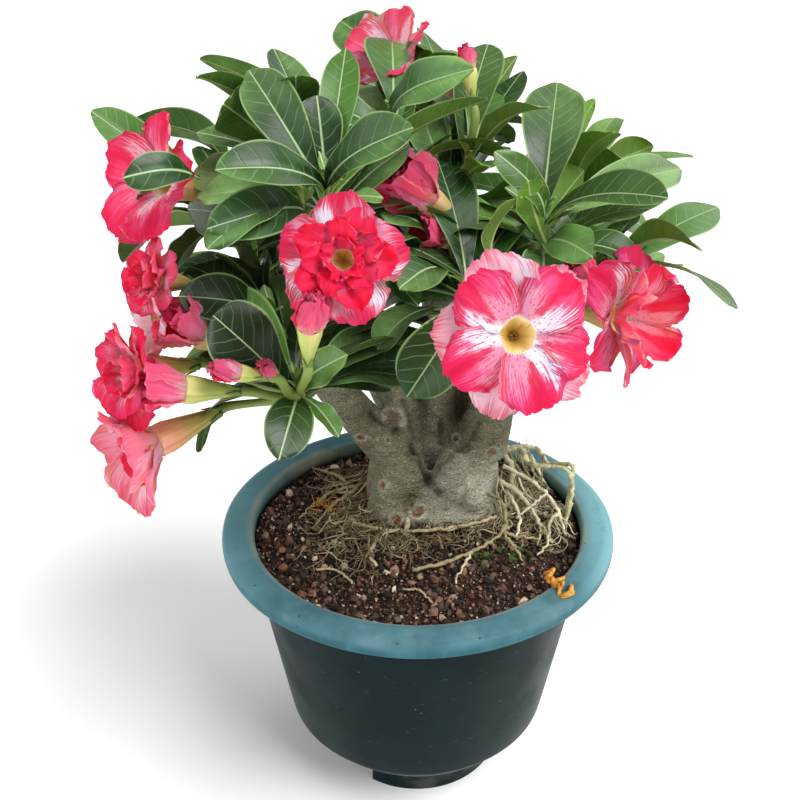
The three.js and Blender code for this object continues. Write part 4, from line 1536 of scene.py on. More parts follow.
@dataclass
class Leaf:
    """One spoon-shaped leaf."""

    base: np.ndarray
    bearing: float
    rise: float
    length: float
    width: float
    roll: float
    arch: float
    young: float = 0.0

    ROWS = 24
    COLS = 9
    TIP = 0.988

    def grow(self, body: Body, rng: Rng) -> None:
        """Adds the leaf to a body, with finishes 0 on its face and 1 on its back.

        Args:
            body: The body that it joins.
            rng: The source of chance.
        """
        along = heading(self.bearing, self.rise)
        sky = unit(vec(0, 0, 1) - along * along[2])
        roll = math.radians(self.roll)
        up = sky * math.cos(roll) + np.cross(along, sky) * math.sin(roll)
        across = np.cross(along, up)
        t = np.sin(np.linspace(0, math.pi / 2, self.ROWS)) ** 1.15 * self.TIP
        s = np.linspace(-1, 1, self.COLS)
        s = np.sign(s) * np.abs(s) ** 0.85
        shape = t ** rng.uniform(1.25, 1.6) * (1 - t) ** 0.48
        petiole = 1.5 / max(self.width, 6)
        half = np.maximum(shape / shape.max() * 0.5, petiole * (1 - t)) * self.width
        flat = s[None] * half[:, None]
        tip = (1 - s**2)[None] * smoothstep(t, 0.8, 1.0)[:, None] * rng.uniform(0.02, 0.05) * self.length
        y = t[:, None] * self.length + tip
        fold = rng.uniform(0.08, 0.42)
        curl = rng.uniform(-0.4, 0.3)
        wave = rng.uniform(0.3, 1.7)
        phase, pace = rng.uniform(0, 6.28, 2), rng.uniform(1.2, 2.6)
        lift = 4 * self.arch * t * (1 - t)
        lift = (1.3 * lift - rng.uniform(-3, 9) * t**3)[:, None]
        edge = np.abs(s)[None] ** 2
        z = lift + fold * np.abs(flat) + curl * flat**2 / max(self.width, 8)
        z = z + wave * edge * np.sin(2 * math.pi * pace * t[:, None] + phase[0] + 0.9 * np.sign(s)[None])
        twist = math.radians(rng.uniform(-20, 20)) * t[:, None]
        x = flat * np.cos(twist) - (z - lift) * np.sin(twist)
        z = lift + (z - lift) * np.cos(twist) + flat * np.sin(twist)
        sway = rng.uniform(-0.05, 0.05) * self.length * (t**2)[:, None]
        middle = self.base + y[..., None] * along + (x + sway)[..., None] * across + z[..., None] * up
        rib = np.exp(-((flat / 1.0) ** 2)) * (1 - 0.6 * t[:, None])
        thick = 0.38 * (1 - edge)
        top = middle + (thick - 0.35 * rib)[..., None] * up
        under = middle - (thick + 0.95 * rib)[..., None] * up
        blade = np.stack([flat, np.broadcast_to(y, flat.shape), np.broadcast_to(s[None], flat.shape)], axis=2)
        # Painted sheen: the face is painted paler where it turns to the light, more towards the tip.
        bloom = self._bloom(top, up) * rng.uniform(0.15, 1.0) ** 1.8 * (0.25 + 0.75 * t[:, None])
        bloom = np.clip(bloom, 0, 0.9)
        tint = np.stack([np.full(bloom.shape, rng.random()), bloom, np.full(bloom.shape, self.young)], axis=2)
        body.sheet(top, under, (0, 1), blade=blade, tint=tint)

    def _bloom(self, top: np.ndarray, up: np.ndarray) -> np.ndarray:
        """How much painted sheen the leaf's face gets, most where it turns to the light: a painted highlight.

        Args:
            top: The grid of its upper side.
            up: The direction that its face looks in.

        Returns:
            A number for each grid point.
        """
        tilt = np.cross(np.gradient(top, axis=0), np.gradient(top, axis=1))
        tilt /= np.linalg.norm(tilt, axis=2)[..., None] + 1e-9
        return 1.4 * np.clip(tilt @ (unit(vec(-0.3, -0.4, 1.0)) * np.sign((tilt @ up).mean())), 0, 1) ** 7


LeafRow = tuple[float, float, float, float, float, float]


@dataclass
class Shoot:
    """A green stem with its leaves; a hero leaf is a piece of its own.

    Attributes:
        name: What the node is called after "shoot_".
        stem: The places that the stem passes.
        leaves: Rows of bearing, rise, length, width, roll and arch, from the tip down.
        heroes: Such a row for each leaf that is a node of its own.
        whorl: How many leaves stand round the tip, the first one's bearing and their length.
        behind: How many older leaves there are, and the middle and half width of their bearings.
        loose: Leaves that grow from a place of their own.
        painted_shade: How much painted shade darkens its leaves; below 0 they are painted lighter and
            yellower, as painted light.
        fresh: The leaves that stay fresh, by number or name.
    """

    name: str
    stem: tuple[Triple, Triple, Triple]
    leaves: tuple[LeafRow, ...] = ()
    heroes: dict[str, LeafRow] = field(default_factory=dict)
    whorl: tuple[int, float, float] | None = None
    behind: tuple[int, float, float] = (6, 0.0, 100.0)
    loose: tuple[tuple[Triple, LeafRow], ...] = ()
    painted_shade: float = 0.0
    fresh: tuple[str | int, ...] = ()

    LEAF_ROOT = 3.0
    LEAF_STEP = 2.0
    GOLDEN_ANGLE = 137.5
    STEPS = 18
    SIDES = 14
    FRESH = 0.35
    OLDER = ((-5, 48), (50, 74), (22, 30), (-35, 35), (2, 9))
    BUD_LEAVES = 4
    BUD = ((58, 80), (12, 24), (4, 8))

    def rows(self) -> list[LeafRow]:
        """The leaves, the youngest of a whorl first.

        Returns:
            A row for each leaf.
        """
        if self.whorl is None:
            return list(self.leaves)
        count, first, length = self.whorl
        made = []
        for i in range(count):
            age = i / (count - 1)
            bearing, reach = first + i * self.GOLDEN_ANGLE, length * (0.65 + 0.35 * math.sqrt(age))
            made.append((bearing, 55 - 60 * age, reach, 18 + 10 * age, 0.0, 2 + 8 * age))
        return made

    def node_at(self, index: float) -> np.ndarray:
        """Where a leaf grows from the stem."""
        below, tip = (np.array(p, dtype=float) for p in self.stem[-2:])
        return tip + unit(below - tip) * (self.LEAF_ROOT + index * self.LEAF_STEP)

    def build(self, rng: Rng, skins: Sequence[Material]) -> None:
        """Makes the shoot and its hero leaves.

        Args:
            rng: The source of chance.
            skins: The finishes of a leaf's face and back and of the stem.
        """
        body = Body()
        t = np.linspace(0, 1, self.STEPS + 1)
        radii = (6.2 - 1.6 * t) * (1 + 0.06 * np.sin(t * 40 + 1)) * (1 - 0.55 * smoothstep(t, 0.9, 1.0))
        mark = np.zeros((self.STEPS + 1, self.SIDES, 3))
        mark[..., 1] = t[:, None]
        stem = through(self.stem, self.STEPS)
        body.tube(stem, radii, self.SIDES, 2, blade=mark, tint=vec(rng.random(), 0, 0))
        for i, row in enumerate(self.rows()):
            # young is real youth; the shoot's painted shade lowers it, and a negative one raises it as
            # painted light.
            young = 0.5 if row[2] < 45 else float(rng.random() ** 3 * 0.4) - self.painted_shade
            young = self.FRESH if i in self.fresh else young
            Leaf(self.node_at(i), *row, young=young).grow(body, rng)
        self._buds(body, rng)
        self._older(body, rng)
        for base, row in self.loose:
            Leaf(vec(*base), *row, young=-self.painted_shade).grow(body, rng)
        body.make(f"shoot_{self.name}_leaves", skins, "leaf", [f"shoot_{self.name}"])
        for hero, row in self.heroes.items():
            blade = Body()
            young = self.FRESH if hero in self.fresh else -max(self.painted_shade, 0.0)
            Leaf(self.node_at(0), *row, young=young).grow(blade, rng)
            blade.make(f"{hero}_blade", skins[:2], "leaf", [hero])

    def _older(self, body: Body, rng: Rng) -> None:
        """Adds the older leaves, which fill the crown further down the stem.

        Args:
            body: The shoot's body.
            rng: The source of chance.
        """
        count, middle, half = self.behind
        for i in range(count):
            bearing = middle + half * (2 * (i + rng.uniform(0.2, 0.8)) / count - 1)
            row = [bearing] + [rng.uniform(*ends) for ends in self.OLDER]
            Leaf(self.node_at(8 + 1.4 * i), *row, young=float(rng.random() ** 4) - self.painted_shade).grow(body, rng)

    def _buds(self, body: Body, rng: Rng) -> None:
        """Adds the smallest leaves, which stand at the tip of the stem.

        Args:
            body: The shoot's body.
            rng: The source of chance.
        """
        base = np.array(self.stem[-1], dtype=float) - vec(0, 0, 2)
        first = rng.uniform(0, 360)
        for i in range(self.BUD_LEAVES):
            size = [rng.uniform(*ends) for ends in self.BUD]
            Leaf(base, first + i * self.GOLDEN_ANGLE, *size, 0, 1.5, young=0.9).grow(body, rng)


SHOOTS = (
    Shoot(
        "front_left_high", ((-42, 0, 362), (-50, -32, 396), (-48, -55, 423)),
        ((-138, 24, 68, 24, -55, 9), (136, 40, 70, 28, 70, 8), (87, 32, 95, 24, -40, 6),
         (18, 67, 78, 20, 16, 4), (-29, 47, 95, 24, 5, 5), (154, 64, 22, 7, 25, 0), (117, 27, 32, 10, 35, 2)),
        {"leaf_long_left": (-60, 51, 74, 28, -46, 6), "leaf_upright": (-9, 70, 50, 23, -5, 2)},
        loose=(
            ((-46, -30, 392), (80, 4, 70, 28, -10, 6)), ((-46, -28, 388), (104, -8, 72, 28, 10, 6)),
            ((-46, -24, 384), (60, 10, 66, 28, 0, 6)), ((-48, -30, 384), (125, -20, 60, 26, 0, 6)),
            ((6, -25, 377), (-129, 38, 44, 28, 0, 4)), ((6, -25, 374), (-140, 15, 40, 28, 20, 4)),
            ((9, -22, 382), (-112, 47, 38, 24, -20, 4)), ((-50, -28, 402), (-40, 48, 84, 24, -30, 6)),
        ),
        painted_shade=0.3, fresh=(3,),
    ),
    Shoot(
        "front_left_low", ((-60, -2, 296), (-68, -40, 300), (-67, -75, 317)),
        ((112, 44, 42, 22, 60, 6), (50, 16, 66, 30, 20, 6), (62, 4, 84, 32, 10, 6),
         (-71, -31, 82, 28, -5, 14), (-175, -9, 48, 26, -15, 6), (139, -19, 36, 14, 5, 4),
         (6, 38, 60, 30, -50, 4)),
        {"leaf_broad_left": (-63, 44, 74, 40, -25, 6), "leaf_folded": (-117, 52, 69, 40, -75, 4)},
        loose=(
            ((29, 0, 354), (-104, -20, 50, 26, -10, 5)), ((29, 6, 345), (-89, 12, 46, 26, 5, 5)),
            ((16, 4, 332), (-115, -8, 40, 24, 5, 4)), ((17, 2, 318), (-112, -2, 44, 26, -5, 4)),
            ((20, -2, 313), (-98, 33, 42, 24, -5, 4)), ((-68, -70, 313), (79, 26, 62, 30, -10, 6)),
            ((-66, -66, 310), (72, 2, 62, 28, 5, 8)), ((15, -30, 350), (-123, -19, 48, 30, 10, 6)),
        ),
        painted_shade=0.9, fresh=("leaf_broad_left",),
    ),
    Shoot(
        "centre", ((14, 28, 330), (20, -4, 342), (27, -50, 363)),
        ((8, 44, 80, 28, -120, 6), (32, 30, 66, 30, 5, 4), (-46, -4, 50, 24, -20, 6),
         (-44, -15, 70, 30, -30, 6)),
        {"leaf_tall_centre": (-16, 46, 84, 34, 5, 6), "leaf_veined": (-143, -32, 64, 34, -40, 6)},
        loose=(
            ((22, -20, 352), (-70, 22, 66, 28, -20, 6)), ((22, -16, 348), (-92, 8, 62, 26, 10, 6)),
            ((18, -40, 372), (-142, 11, 48, 26, -10, 6)), ((20, -12, 346), (75, 14, 60, 28, 0, 6)),
            ((20, -10, 344), (-60, 0, 58, 26, 20, 6)),
        ),
        painted_shade=0.35,
    ),
    Shoot(
        "right_high", ((68, 2, 362), (70, -12, 382), (68, -20, 397)),
        ((69, 15, 90, 30, 40, 8), (141, 21, 86, 26, 30, 10), (-124, 53, 60, 18, -75, 10),
         (-115, 55, 34, 12, -55, 2), (128, 51, 38, 12, -15, 2), (35, 23, 60, 30, -100, 4),
         (-21, -32, 60, 26, -80, 6)),
        {"leaf_tall_right": (13, 47, 90, 36, 0, 4)},
        loose=(
            ((38, -40, 378), (117, 70, 42, 24, 0, 4)), ((71, -30, 384), (-137, 63, 48, 20, 60, 4)),
            ((67, -18, 384), (-95, 2, 60, 28, 10, 8)), ((69, -16, 380), (150, 12, 44, 26, 25, 6)),
            ((69, -14, 376), (-170, -6, 46, 26, -20, 6)), ((70, -12, 374), (100, 4, 58, 26, 10, 6)),
        ),
        painted_shade=-0.22, fresh=(2, 3, 4, 5),
    ),
    Shoot(
        "left_middle", ((-44, -4, 366), (-58, -28, 392), (-61, -45, 412)),
        ((-52, 1, 72, 28, -35, 8), (-147, 12, 68, 26, -60, 10), (-145, 1, 74, 26, -20, 12),
         (-62, 16, 76, 26, -30, 5), (-57, -7, 88, 28, -70, 10)),
        painted_shade=0.45,
    ),
    Shoot(
        "left_high", ((-40, 2, 358), (-60, 8, 400), (-72, 5, 431)),
        ((-45, 29, 88, 24, 70, 14), (-143, 40, 82, 20, 15, 8), (-151, 35, 70, 28, 60, 8),
         (-33, 20, 60, 24, -20, 4), (175, 50, 70, 26, 0, 6), (-15, 29, 86, 28, 145, 8),
         (15, 28, 80, 28, 0, 6)),
        painted_shade=0.5,
    ),
    Shoot(
        "left_far", ((-68, -14, 314), (-92, 8, 345), (-117, 35, 391)),
        ((-66, 39, 80, 30, 55, 20), (-99, 40, 94, 24, -70, 8), (-145, 28, 74, 28, 35, 5),
         (-80, -22, 82, 30, 40, 12), (-151, -19, 60, 26, 75, 8), (-29, 46, 60, 24, 15, 2)),
        loose=(((-115, -42, 427), (-138, 19, 42, 20, -50, 4)),),
        painted_shade=0.5, fresh=(1,),
    ),
    Shoot(
        "left_low", ((-66, -12, 308), (-78, -24, 324), (-84, -30, 341)),
        ((-53, 21, 66, 34, -20, 6), (-140, 32, 70, 28, -50, 8), (-73, -14, 72, 22, 0, 6),
         (-12, 35, 55, 28, -55, 4)),
        painted_shade=0.9,
    ),
    Shoot(
        "right_low", ((66, 8, 322), (92, 6, 340), (115, 5, 359)),
        ((64, 21, 86, 26, 30, 6), (135, 27, 66, 26, -35, 12), (141, 6, 90, 22, -35, 12),
         (40, 35, 50, 20, -15, 4), (-156, -10, 36, 16, 0, 4), (-1, 26, 50, 22, 45, 4)),
        painted_shade=-0.25,
    ),
    Shoot(
        "centre_high", ((9, 20, 376), (20, 14, 400), (29, 10, 422)),
        ((19, 35, 78, 32, 15, 6), (127, 44, 66, 26, -30, 8), (12, 42, 92, 28, -10, 5),
         (23, 40, 92, 18, -100, 4), (35, 39, 80, 24, 0, 4), (153, 32, 36, 22, -35, 4),
         (-14, 38, 80, 24, 35, 5)),
    ),
    Shoot(
        "crown", ((8, 18, 380), (-6, 10, 420), (-15, 5, 449)),
        ((2, 34, 68, 34, 0, 6), (142, 31, 72, 24, 70, 12), (17, 30, 55, 26, -15, 4), (-24, 15, 30, 14, 0, 2),
         (-27, 15, 65, 26, -15, 4)),
    ),
    Shoot(
        "crown_back", ((10, 68, 368), (10, 70, 410), (7, 70, 450)),
        ((-44, 29, 85, 32, -40, 6), (-179, 43, 60, 30, 0, 8), (17, 27, 60, 20, 15, 4), (3, 32, 75, 24, 40, 4),
         (25, 21, 70, 24, 5, 4)),
    ),
    Shoot(
        "right_back", ((68, 4, 352), (86, 32, 370), (100, 60, 387)),
        ((34, 40, 66, 28, -5, 6), (140, 39, 52, 28, -50, 8), (61, 26, 70, 26, -70, 8),
         (68, 17, 90, 22, -5, 8), (22, 46, 80, 20, -105, 8), (164, 58, 75, 22, 0, 8),
         (63, -16, 70, 24, 45, 8)),
        painted_shade=-0.3,
    ),
    Shoot("back_left", ((-46, 74, 300), (-56, 76, 320), (-60, 75, 340)), whorl=(7, -30, 70)),
    Shoot("back_right", ((74, 72, 308), (82, 74, 324), (86, 75, 342)), whorl=(7, 10, 70)),
    Shoot("back_middle", ((12, 66, 345), (14, 76, 375), (14, 80, 402)), whorl=(6, 0, 65)),
    Shoot("back_far_left", ((-34, 70, 282), (-76, 64, 316), (-108, 56, 346)), whorl=(7, -80, 68)),
    Shoot("back_high_left", ((10, 68, 360), (-28, 66, 386), (-58, 62, 404)), whorl=(6, -50, 68)),
    Shoot("back_far_right", ((64, 70, 290), (100, 62, 312), (128, 54, 330)), whorl=(7, 60, 62)),
)


# ---------------------------------------------------------------- flowers and buds


class Tone(Enum):
    """A whorl's colouring: how crimson and how pale it is, and how much further its white spreads."""

    STREAKED = (0.0, 0.0, -0.08)
    EDGED = (0.0, 0.0, 0.3)
    ROSY = (0.45, 0.0, -0.1)
    CRIMSON = (1.0, 0.0, 0.0)
    WARM = (0.7, 0.0, 0.1)
    PALE = (0.0, 0.8, 0.2)
    DUSTY = (0.3, 0.3, 0.1)
    PINK = (0.35, 0.1, 0.0)


@dataclass(frozen=True)
class Whorl:
    """A ring of petals.

    Attributes:
        reach: How far a petal runs from the throat's edge to its tip, along its face.
        width: The petal's greatest width.
        rise: The angles of the petal to the flower's face, at its root and its tip, in degrees.
        turn: The bearing of the first petal, seen from the front.
        ruffle: The height of the waves along its edge.
        foot: The radius it starts at.
        stand: How far in front of the throat's edge it starts.
        tone: Its colouring.
        twist: How far each petal's one side lies over its neighbour.
        swirl: How far a petal winds round the flower's middle line, in degrees.
        lap: How far neighbours overlap, 1 where they just meet.
        turns: The petals' bearings, where they aren't evenly spaced.
    """

    reach: float
    width: float
    rise: tuple[float, float]
    turn: float
    ruffle: float
    tone: Tone
    foot: float = 8.3
    stand: float = 0.0
    twist: float = 0.2
    swirl: float = 0.0
    lap: float = 1.4
    turns: tuple[float, ...] = ()

    def bearings(self) -> list[float]:
        """The bearing of each petal."""
        return list(self.turns) or [self.turn + i * PART_TURN for i in range(PARTS)]


@dataclass
class Flower:
    """A flower or bud: whorls of petals on a tube, and the stalk behind it.

    Attributes:
        name: Its node, which names its piece as well.
        at: The middle of the throat's edge.
        facing: The bearing and the rise of the direction that it looks in.
        tube: The length of its tube.
        root: Where its stalk starts.
        whorls: Its petals, from the outside in.
        double: Whether the whorls inside the first are a node of their own.
        throat: The radius of the throat's edge.
        droop: How far the petals' tips hang down.
        warm: How red the tube is.
        fine: How many points lie across a petal.
    """

    name: str
    at: Triple
    facing: tuple[float, float]
    tube: float
    root: Triple
    whorls: tuple[Whorl, ...]
    double: bool = False
    throat: float = 9.0
    droop: float = 0.0
    warm: float = 1.0
    fine: int = 15

    TUBE = ((0.95, -0.17), (0.93, -0.26), (0.8, -0.42), (0.58, -0.66), (0.42, -0.86), (0.34, -1.0))
    THROAT = ((1.1, -0.4), (0.98, -1.6), (0.86, -4.5), (0.7, -7.5), (0.5, -10), (0.32, -12), (0.12, -13))
    STAR_DEPTH = -8
    TUBE_SIDES = 30
    STALK_STEPS = 14

    def axes(self) -> np.ndarray:
        """How it stands.

        Returns:
            Its right, up and forward directions, as seen from the front.
        """
        front = heading(*self.facing)
        right = unit(np.cross(vec(0, 0, 1), front))
        return np.array([right, np.cross(front, right), front])

    def build(self, rng: Rng, skins: Sequence[Material]) -> None:
        """Makes the flower.

        Args:
            rng: The source of chance.
            skins: The finishes of a petal's face and back, the tube, the throat and the sepals.
        """
        outer, inner = Body(), Body()
        for i, whorl in enumerate(self.whorls):
            for turn in whorl.bearings():
                self._petal(inner if self.double and i else outer, rng, whorl, turn + rng.uniform(-5, 5))
        self._tube(outer, rng)
        slot = "bud" if self.name.startswith("bud") else "petal"
        outer.make(f"{self.name}_bloom", skins, slot, [self.name])
        if self.double:
            inner.make(f"{self.name}_inner_bloom", skins[:2], "petal_inner", [f"{self.name}_inner"])

    def _petal(self, body: Body, rng: Rng, whorl: Whorl, turn: float) -> None:
        """Adds one petal.

        Args:
            body: The body that it joins.
            rng: The source of chance.
            whorl: The whorl that it stands in.
            turn: Its bearing, seen from the front.
        """
        right, up, front = self.axes()
        cols, rows = self.fine, self.fine + 4
        u = np.linspace(-1, 1, cols)[None]
        v = np.linspace(0, 1, rows)[:, None]
        a = np.radians(turn + whorl.swirl * v)[..., None]
        out = right * np.cos(a) + up * np.sin(a)
        across = np.cross(out, front)
        reach, width = whorl.reach * rng.uniform(0.94, 1.06), whorl.width * rng.uniform(0.95, 1.05)
        start, end = whorl.rise
        rise = np.radians(start + (end - start) * v**0.8 + rng.uniform(-6, 6) * v)
        step = reach / (rows - 1)
        r = whorl.foot + np.concatenate([[[0.0]], np.cumsum(np.cos(rise[1:]), axis=0) * step])
        r = np.maximum(r, 0.6)
        z = whorl.stand + np.concatenate([[[0.0]], np.cumsum(np.sin(rise[1:]), axis=0) * step])
        blunt = smoothstep(v, 0.45, 1.0)
        spare = whorl.lap * math.tan(math.pi / PARTS) * r
        full = width / 2 * (1 - 0.24 * smoothstep(v, 0.68, 1.05) ** 1.5)
        half = (spare**-5 + full**-5) ** -0.2
        point = (1 - np.abs(u)) ** 1.5 * blunt * reach * rng.uniform(0.0, 0.06)
        ripple, teeth = rng.uniform(0, 6.28, 2), rng.uniform(0, 6.28)
        scallop = 0.5 * np.sin(7 * u + ripple[0]) + 0.4 * np.sin(15 * u + ripple[1])
        scallop = scallop + 0.35 * np.sin(34 * u + teeth)
        round_off = 1 - np.sqrt(np.clip(1 - 0.97 * u**2, 0, 1))
        r = r + (point + scallop * blunt**3 * reach * 0.042 - round_off * blunt * reach * 0.33) * np.cos(rise)
        side = u * half + 0.35 * np.sin(30 * v + teeth) * np.abs(u) ** 8 * np.sign(u)
        lift = self._waves(whorl.ruffle, u, v, rng.uniform(0, 2 * math.pi, 6))
        lift = lift - 0.7 * np.exp(-((u / 0.13) ** 2)) * smoothstep(v, 0.05, 0.3)
        lift = lift + whorl.twist * side * smoothstep(v, 0.05, 0.5) + rng.uniform(-0.016, 0.022) * side**2
        root = 1 - smoothstep(v, 0.0, 0.5)
        lift = lift + 0.3 * u * root
        r = np.sqrt(np.maximum(r**2 - 0.6 * root * side**2, 0.04 * r**2))
        normal_r, normal_z = -np.sin(rise), np.cos(rise)
        middle = (
            vec(*self.at)
            + (r + lift * normal_r)[..., None] * out
            + side[..., None] * across
            + (z + point * np.sin(rise) + lift * normal_z)[..., None] * front
            - (self.droop * v**2)[..., None] * vec(0, 0, 1)
        )
        normal = normal_r[..., None] * out + normal_z[..., None] * front
        skin = (0.3 * (1 - u**2) * np.ones_like(v))[..., None] * normal
        petal = np.stack(np.broadcast_arrays(u, v, np.full((rows, cols), rng.random())), axis=2)
        tone = vec(*whorl.tone.value)
        tone[:2] = np.clip(tone[:2] * (1 + rng.uniform(-0.25, 0.1, 2)), 0, 1)
        body.sheet(middle + skin, middle - skin, (0, 1), petal=petal, tone=tone)

    def _waves(self, ruffle: float, u: np.ndarray, v: np.ndarray, phases: np.ndarray) -> np.ndarray:
        """The waves of a petal's face and edge.

        Args:
            ruffle: How high they are.
            u: How far across the petal each point is, from -1 to 1.
            v: How far along it each point is, from 0 to 1.
            phases: Where each wave starts.

        Returns:
            How far each point stands off the petal's plain shape.
        """
        waves = np.sin(2.1 * u + phases[0]) * 0.6 + np.sin(5.2 * u + 2.0 * v + phases[1]) * 0.5
        waves = waves + np.sin(10.5 * u + 1.5 * v + phases[2]) * 0.34 * v
        lift = ruffle * waves * v**1.5 + ruffle * 0.5 * np.sin(4.5 * v + phases[3]) * v
        edge = ruffle * 0.7 * np.abs(u) ** 3 * np.sin(11 * v + phases[4] + 2 * np.sign(u))
        return lift + edge * smoothstep(v, 0.2, 0.7)

    def _tube(self, body: Body, rng: Rng) -> None:
        """Adds the tube, the throat, the stalk, the sepals and the anthers.

        Args:
            body: The flower's body.
            rng: The source of chance.
        """
        angle = full_turn(self.TUBE_SIDES)
        star = 1 + 0.08 * np.cos(PARTS * (angle - math.radians(self.whorls[-1].turn + PART_TURN / 2)))
        outside, lot = self.whorls[0], rng.random()
        profile = [(outside.foot + 0.1, outside.stand + 0.4), (outside.foot + 0.5, outside.stand - 0.4)]
        profile += [(k * (self.throat + 0.5), z * self.tube) for k, z in self.TUBE]
        outer = self._rings(angle, star, profile)
        faces = grid_faces(len(outer), self.TUBE_SIDES, wrap=True)
        body.add(outer, [faces[:, ::-1]], 2, petal=self._ring_marks(outer, lot), tone=vec(self.warm, 0, 0))
        shallow = min(1.0, (self.throat / 9) ** 1.5)
        profile = [(k * (self.throat - 0.6), z * shallow) for k, z in self.THROAT]
        inner = self._rings(angle, star, profile)
        floor = (len(inner) - 1) * self.TUBE_SIDES + np.arange(self.TUBE_SIDES)
        faces = grid_faces(len(inner), self.TUBE_SIDES, wrap=True)
        body.add(inner, [faces, floor], 3, petal=self._ring_marks(inner, lot), tone=vec(0, 0, 0))
        self._stalk(body, rng)
        for i in range(PARTS):
            self._anther(body, math.radians(i * PART_TURN + 20))

    def _stalk(self, body: Body, rng: Rng) -> None:
        """Adds the stalk, and the sepals at the tube's base.

        Args:
            body: The flower's body.
            rng: The source of chance.
        """
        right, up, front = self.axes()
        root, base = vec(*self.root), 0.34 * self.throat
        neck = vec(*self.at) - front * self.tube
        route = [neck + front * 1.5, neck - front * 8, root + (neck - root) * 0.25, root]
        path = through(route, self.STALK_STEPS)
        radii = spread((base + 0.5, 2.6, 2.3, 2.6, 3.0), self.STALK_STEPS + 1)
        body.tube(path, radii, 10, 2, petal=vec(0, 1, 0), tone=vec(0, 0, 0))
        t = np.linspace(0, 1, 6)[:, None]
        s = np.linspace(-1, 1, 5)[None]
        half = 1.9 * (1 - t) ** 0.7 + 0.15
        off = base + 0.4 + 2.2 * t**1.4 - 0.35 * s**2
        petal = np.stack(np.broadcast_arrays(s, t, np.zeros_like(s * t)), axis=2)[:, ::-1]
        for i in range(PARTS):
            a = math.radians(PART_TURN * i + rng.uniform(-8, 8))
            out = right * math.cos(a) + up * math.sin(a)
            across = np.cross(out, front)
            middle = neck + off[..., None] * out + (s * half)[..., None] * across
            middle = middle + (t * 9 - 1.5)[..., None] * front
            skin = (0.35 * (1 - s**2) * np.ones_like(t))[..., None] * out
            body.sheet(middle + skin, middle - skin, (4, 4), petal=petal, tone=vec(0, 0, 0))

    def _anther(self, body: Body, angle: float) -> None:
        """Adds one of the thread-tipped anthers deep in the throat.

        Args:
            body: The flower's body.
            angle: Where it stands round the flower's middle line, in radians.
        """
        right, up, front = self.axes()
        out = right * math.cos(angle) + up * math.sin(angle)
        low = vec(*self.at) + out * self.throat * 0.16 - front * 12.8
        high = vec(*self.at) + out * self.throat * 0.1 - front * 9.5
        path = through([low, (low + high) / 2 + out * 0.5, high], 8)
        marks = vec(0.1 * angle, 0.95, 0.5)
        body.tube(path, spread((0.8, 0.6, 0.2), 9), 6, 3, petal=marks, tone=vec(0, 0, 0))

    def _rings(self, angle: np.ndarray, star: np.ndarray, profile: Sequence[Triple]) -> np.ndarray:
        """Rings round the flower's middle line.

        Args:
            angle: Where each point of a ring stands.
            star: How far out it is there, as a share of the ring's radius.
            profile: The radius and the height of each ring.

        Returns:
            A grid of points, one row for each ring.
        """
        right, up, front = self.axes()
        ring = np.outer(np.cos(angle), right) + np.outer(np.sin(angle), up)
        rows = []
        for radius, z in profile:
            wide = radius * (star if z > self.STAR_DEPTH else np.ones_like(star))
            rows.append(vec(*self.at) + ring * wide[:, None] + front * z)
        return np.array(rows)

    def _ring_marks(self, rings: np.ndarray, lot: float) -> np.ndarray:
        """How far round and how far down each point is, and the flower's own number.

        Args:
            rings: A grid of points, one row for each ring.
            lot: A number between 0 and 1.

        Returns:
            Three numbers for each point.
        """
        rows, cols = rings.shape[:2]
        around, down = np.meshgrid(np.linspace(0, 1, cols), np.linspace(0, 0.9, rows))
        return np.stack([around, down, np.full((rows, cols), lot * 9)], axis=2)


def closed(size: float, splay: float, tone: Tone = Tone.CRIMSON) -> tuple[Whorl, ...]:
    """The whorls of a bud: petals that are still wound round each other.

    Args:
        size: The head's length.
        splay: How far the outer tips have bent out, in degrees.
        tone: Its colouring.

    Returns:
        The whorls, from the outside in.
    """
    outer, inner = (76, 124 - splay), (88, 120 - 0.5 * splay)
    return (
        Whorl(size, size * 0.85, outer, 0, size * 0.05, tone, foot=size * 0.3, stand=-1.0, swirl=50),
        Whorl(size * 1.2, size * 0.6, inner, 36, size * 0.04, tone, foot=size * 0.22, stand=-1.0, swirl=70),
    )


def doubled(turn: float, size: float, outer: Tone, inner: Tone) -> tuple[Whorl, ...]:
    """The whorls of a double flower.

    Args:
        turn: The bearing of the first outer petal.
        size: The flower's radius.
        outer: The colouring of the outer petals.
        inner: The colouring of the inner ones.

    Returns:
        The whorls, from the outside in.
    """
    reach, ruffle = size - 7, 2.2
    return (
        Whorl(reach * 1.03, size * 1.05, (16, -6), turn + 36, ruffle * 0.7, outer, stand=-1.0),
        Whorl(reach * 0.9, size * 0.98, (36, 4), turn, ruffle, inner, stand=1.0),
        Whorl(reach * 0.62, size * 0.7, (60, 26), turn + 20, ruffle * 1.1, inner, foot=7.5, stand=2.0),
    )


